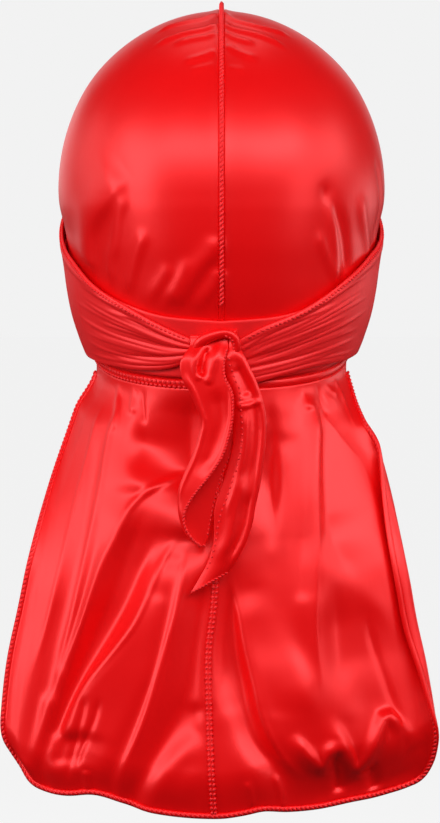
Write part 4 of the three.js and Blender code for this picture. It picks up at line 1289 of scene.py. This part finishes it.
def right_tie_place(s, t):
    left = along(RIGHT_TIE, t, "left") - underlap(t) * ease(t / 0.1)
    x = mix(left, along(RIGHT_TIE, t, "right"), s)
    down = mix(along(RIGHT_TIE, t, "left_down"), along(RIGHT_TIE, t, "right_down"), s)
    at = knot_place(x, TIE_TOP, TIE_OUT).copy()
    at[..., 1] += tie_tuck(t) - TIE_BULGE * np.sin(math.pi * mix(BULGE_START, 1, s))
    at[..., 2] += RIGHT_TIE_RISE * (1 - t) ** 3 - (down + np.minimum(t, 0)) * TIE_RIGHT_LENGTH
    return at


def right_tie():
    """The right free end, one layer of cloth."""
    s, t = tie_grid(RIGHT_TIE_COLUMNS)
    at = right_tie_place(s, t)
    height = fold_height(fold_lines(RIGHT_TIE_FOLDS, right_tie_place), at, BACKWARD)
    return at + BACKWARD * height[..., None]


at, out = left_tie()
panel = dress(cloth_wall("satin_tie_left", at, out, satin), "tie_end_left")
lifted = at + BACKWARD * THREAD_LIFT
rope("tie_left_thread", lifted[FRONT_EDGE, 0], BACKWARD, 0.9, pitch=1.6, slant=0.6)
foot_edge = np.concatenate([lifted[FOOT_EDGE_START:, 0], lifted[-1, 1:]])
rope("tie_left_foot_thread", foot_edge, BACKWARD, 1.0, pitch=1.7, slant=0.6)
dots("tie_left_inner_stitches", lifted[INNER_EDGE, -EDGE_INSET], BACKWARD, 2.2, 0.9)

at = right_tie()
panel = dress(cloth_wall("satin_tie_right", at, BACKWARD, satin), "tie_end_right")
lifted = at + BACKWARD * THREAD_LIFT
place = np.linspace(TUCK_END, 0.9, 150)
width = along(RIGHT_TIE, place, "right") - along(RIGHT_TIE, place, "left")
share = (underlap(place) + DOT_INSET) / (width + UNDERLAP)
columns = np.clip((share * (RIGHT_TIE_COLUMNS - 1)).round().astype(int), 1, RIGHT_TIE_COLUMNS // 2)
rows = ((place - TIE_START) / (1 - TIE_START) * (TIE_ROWS - 1)).round().astype(int)
dots("tie_right_stitches", lifted[rows, columns], BACKWARD, 2.9, 1.05)
rope("tie_right_hem_thread", lifted[-EDGE_INSET, 1:-1], BACKWARD, 0.9, pitch=1.7, slant=0.6)

# Camera, light and floor, with the floor and the lights in metres
CAMERA_AT = (-0.75, -1795.615, -72.428)
CAMERA_DIP = 4.0
PHOTO_HEIGHT = 823
FOCAL_PIXELS = 3600.0
SENSOR = 36.0
STUDIO_WHITE = 0.888
AMBIENT = 0.05
FLOOR_LEVEL = -0.75
FLOOR_REACH = 12.0
FLOOR_COLOUR = (0.05, 0.05, 0.05, 1.0)
FLOOR_GLOW = 0.875
WHITE = (1.0, 1.0, 1.0, 1.0)
camera_data = bpy.data.cameras.new("camera")
camera_data.sensor_width = SENSOR
camera_data.lens = SENSOR * FOCAL_PIXELS / PHOTO_HEIGHT
camera = link(bpy.data.objects.new("camera", camera_data))
camera.location = [value * MM for value in CAMERA_AT]
camera.rotation_euler = (math.radians(90 - CAMERA_DIP), 0.0, 0.0)
bpy.context.scene.camera = camera
bpy.context.scene.view_settings.view_transform = "Standard"

world = bpy.data.worlds.new("studio")
world.use_nodes = True
bpy.context.scene.world = world
nodes = world.node_tree.nodes
links = world.node_tree.links
ambient = nodes["Background"]
set_sockets(ambient, {"Color": WHITE, "Strength": AMBIENT})
shown_white = add_node(nodes, "Background", {"Color": (STUDIO_WHITE, STUDIO_WHITE, STUDIO_WHITE, 1.0)})
pick = nodes.new("ShaderNodeMixShader")
ray = nodes.new("ShaderNodeLightPath")
links.new(ray.outputs["Is Camera Ray"], pick.inputs[0])
links.new(ambient.outputs[0], pick.inputs[1])
links.new(shown_white.outputs[0], pick.inputs[2])
links.new(pick.outputs[0], nodes["World Output"].inputs["Surface"])

floor_mesh = bpy.data.meshes.new("floor")
corners = [(x * FLOOR_REACH, y * FLOOR_REACH, FLOOR_LEVEL) for x, y in ((-1, -1), (1, -1), (1, 1), (-1, 1))]
floor_mesh.from_pydata(corners, [], [(0, 1, 2, 3)])
floor = link(bpy.data.objects.new("floor", floor_mesh))
floor_paint = bpy.data.materials.new("pale_floor")
floor_paint.use_nodes = True
set_sockets(floor_paint.node_tree.nodes["Principled BSDF"], {
    "Base Color": FLOOR_COLOUR, "Roughness": 0.9, "Emission Color": WHITE, "Emission Strength": FLOOR_GLOW})
floor_mesh.materials.append(floor_paint)
floor.visible_diffuse = False
floor.visible_glossy = False

LIGHT_CENTRE = np.array([0.0, -0.02, -0.16])
LIGHT_DISTANCE = 2.0


def softbox(name, azimuth, elevation, width, height, power):
    """A soft light that faces the object; azimuth 0 is the camera's side, positive to its right."""
    data = bpy.data.lights.new(name, "AREA")
    data.shape = "RECTANGLE"
    data.size = width
    data.size_y = height
    data.energy = power
    light = link(bpy.data.objects.new(name, data))
    turn = math.radians(azimuth)
    tilt = math.radians(elevation)
    way = np.array([math.sin(turn) * math.cos(tilt), -math.cos(turn) * math.cos(tilt), math.sin(tilt)])
    light.location = LIGHT_CENTRE + way * LIGHT_DISTANCE
    light.rotation_euler = (math.pi / 2 - tilt, 0.0, turn)
    light.visible_camera = False


LIGHT_RING = table("""
azimuth elevation width height power
-150 6 .9 .6 1.5
-110 14 1.3 .7 3
-70 21 1.35 .65 11.5
-30 27 1.35 .55 14.5
12 29 1.35 .5 14.5
52 26 1.35 .5 15
92 18 1.3 .6 6
126 -3 1 .5 2.5
180 14 1.8 .9 4
180 62 1.2 .9 3.6
-68 3 .7 .6 7
66 2 .6 .5 3
""")
for i in range(len(LIGHT_RING["power"])):
    softbox(f"softbox_{i}", *[float(column[i]) for column in LIGHT_RING.values()])
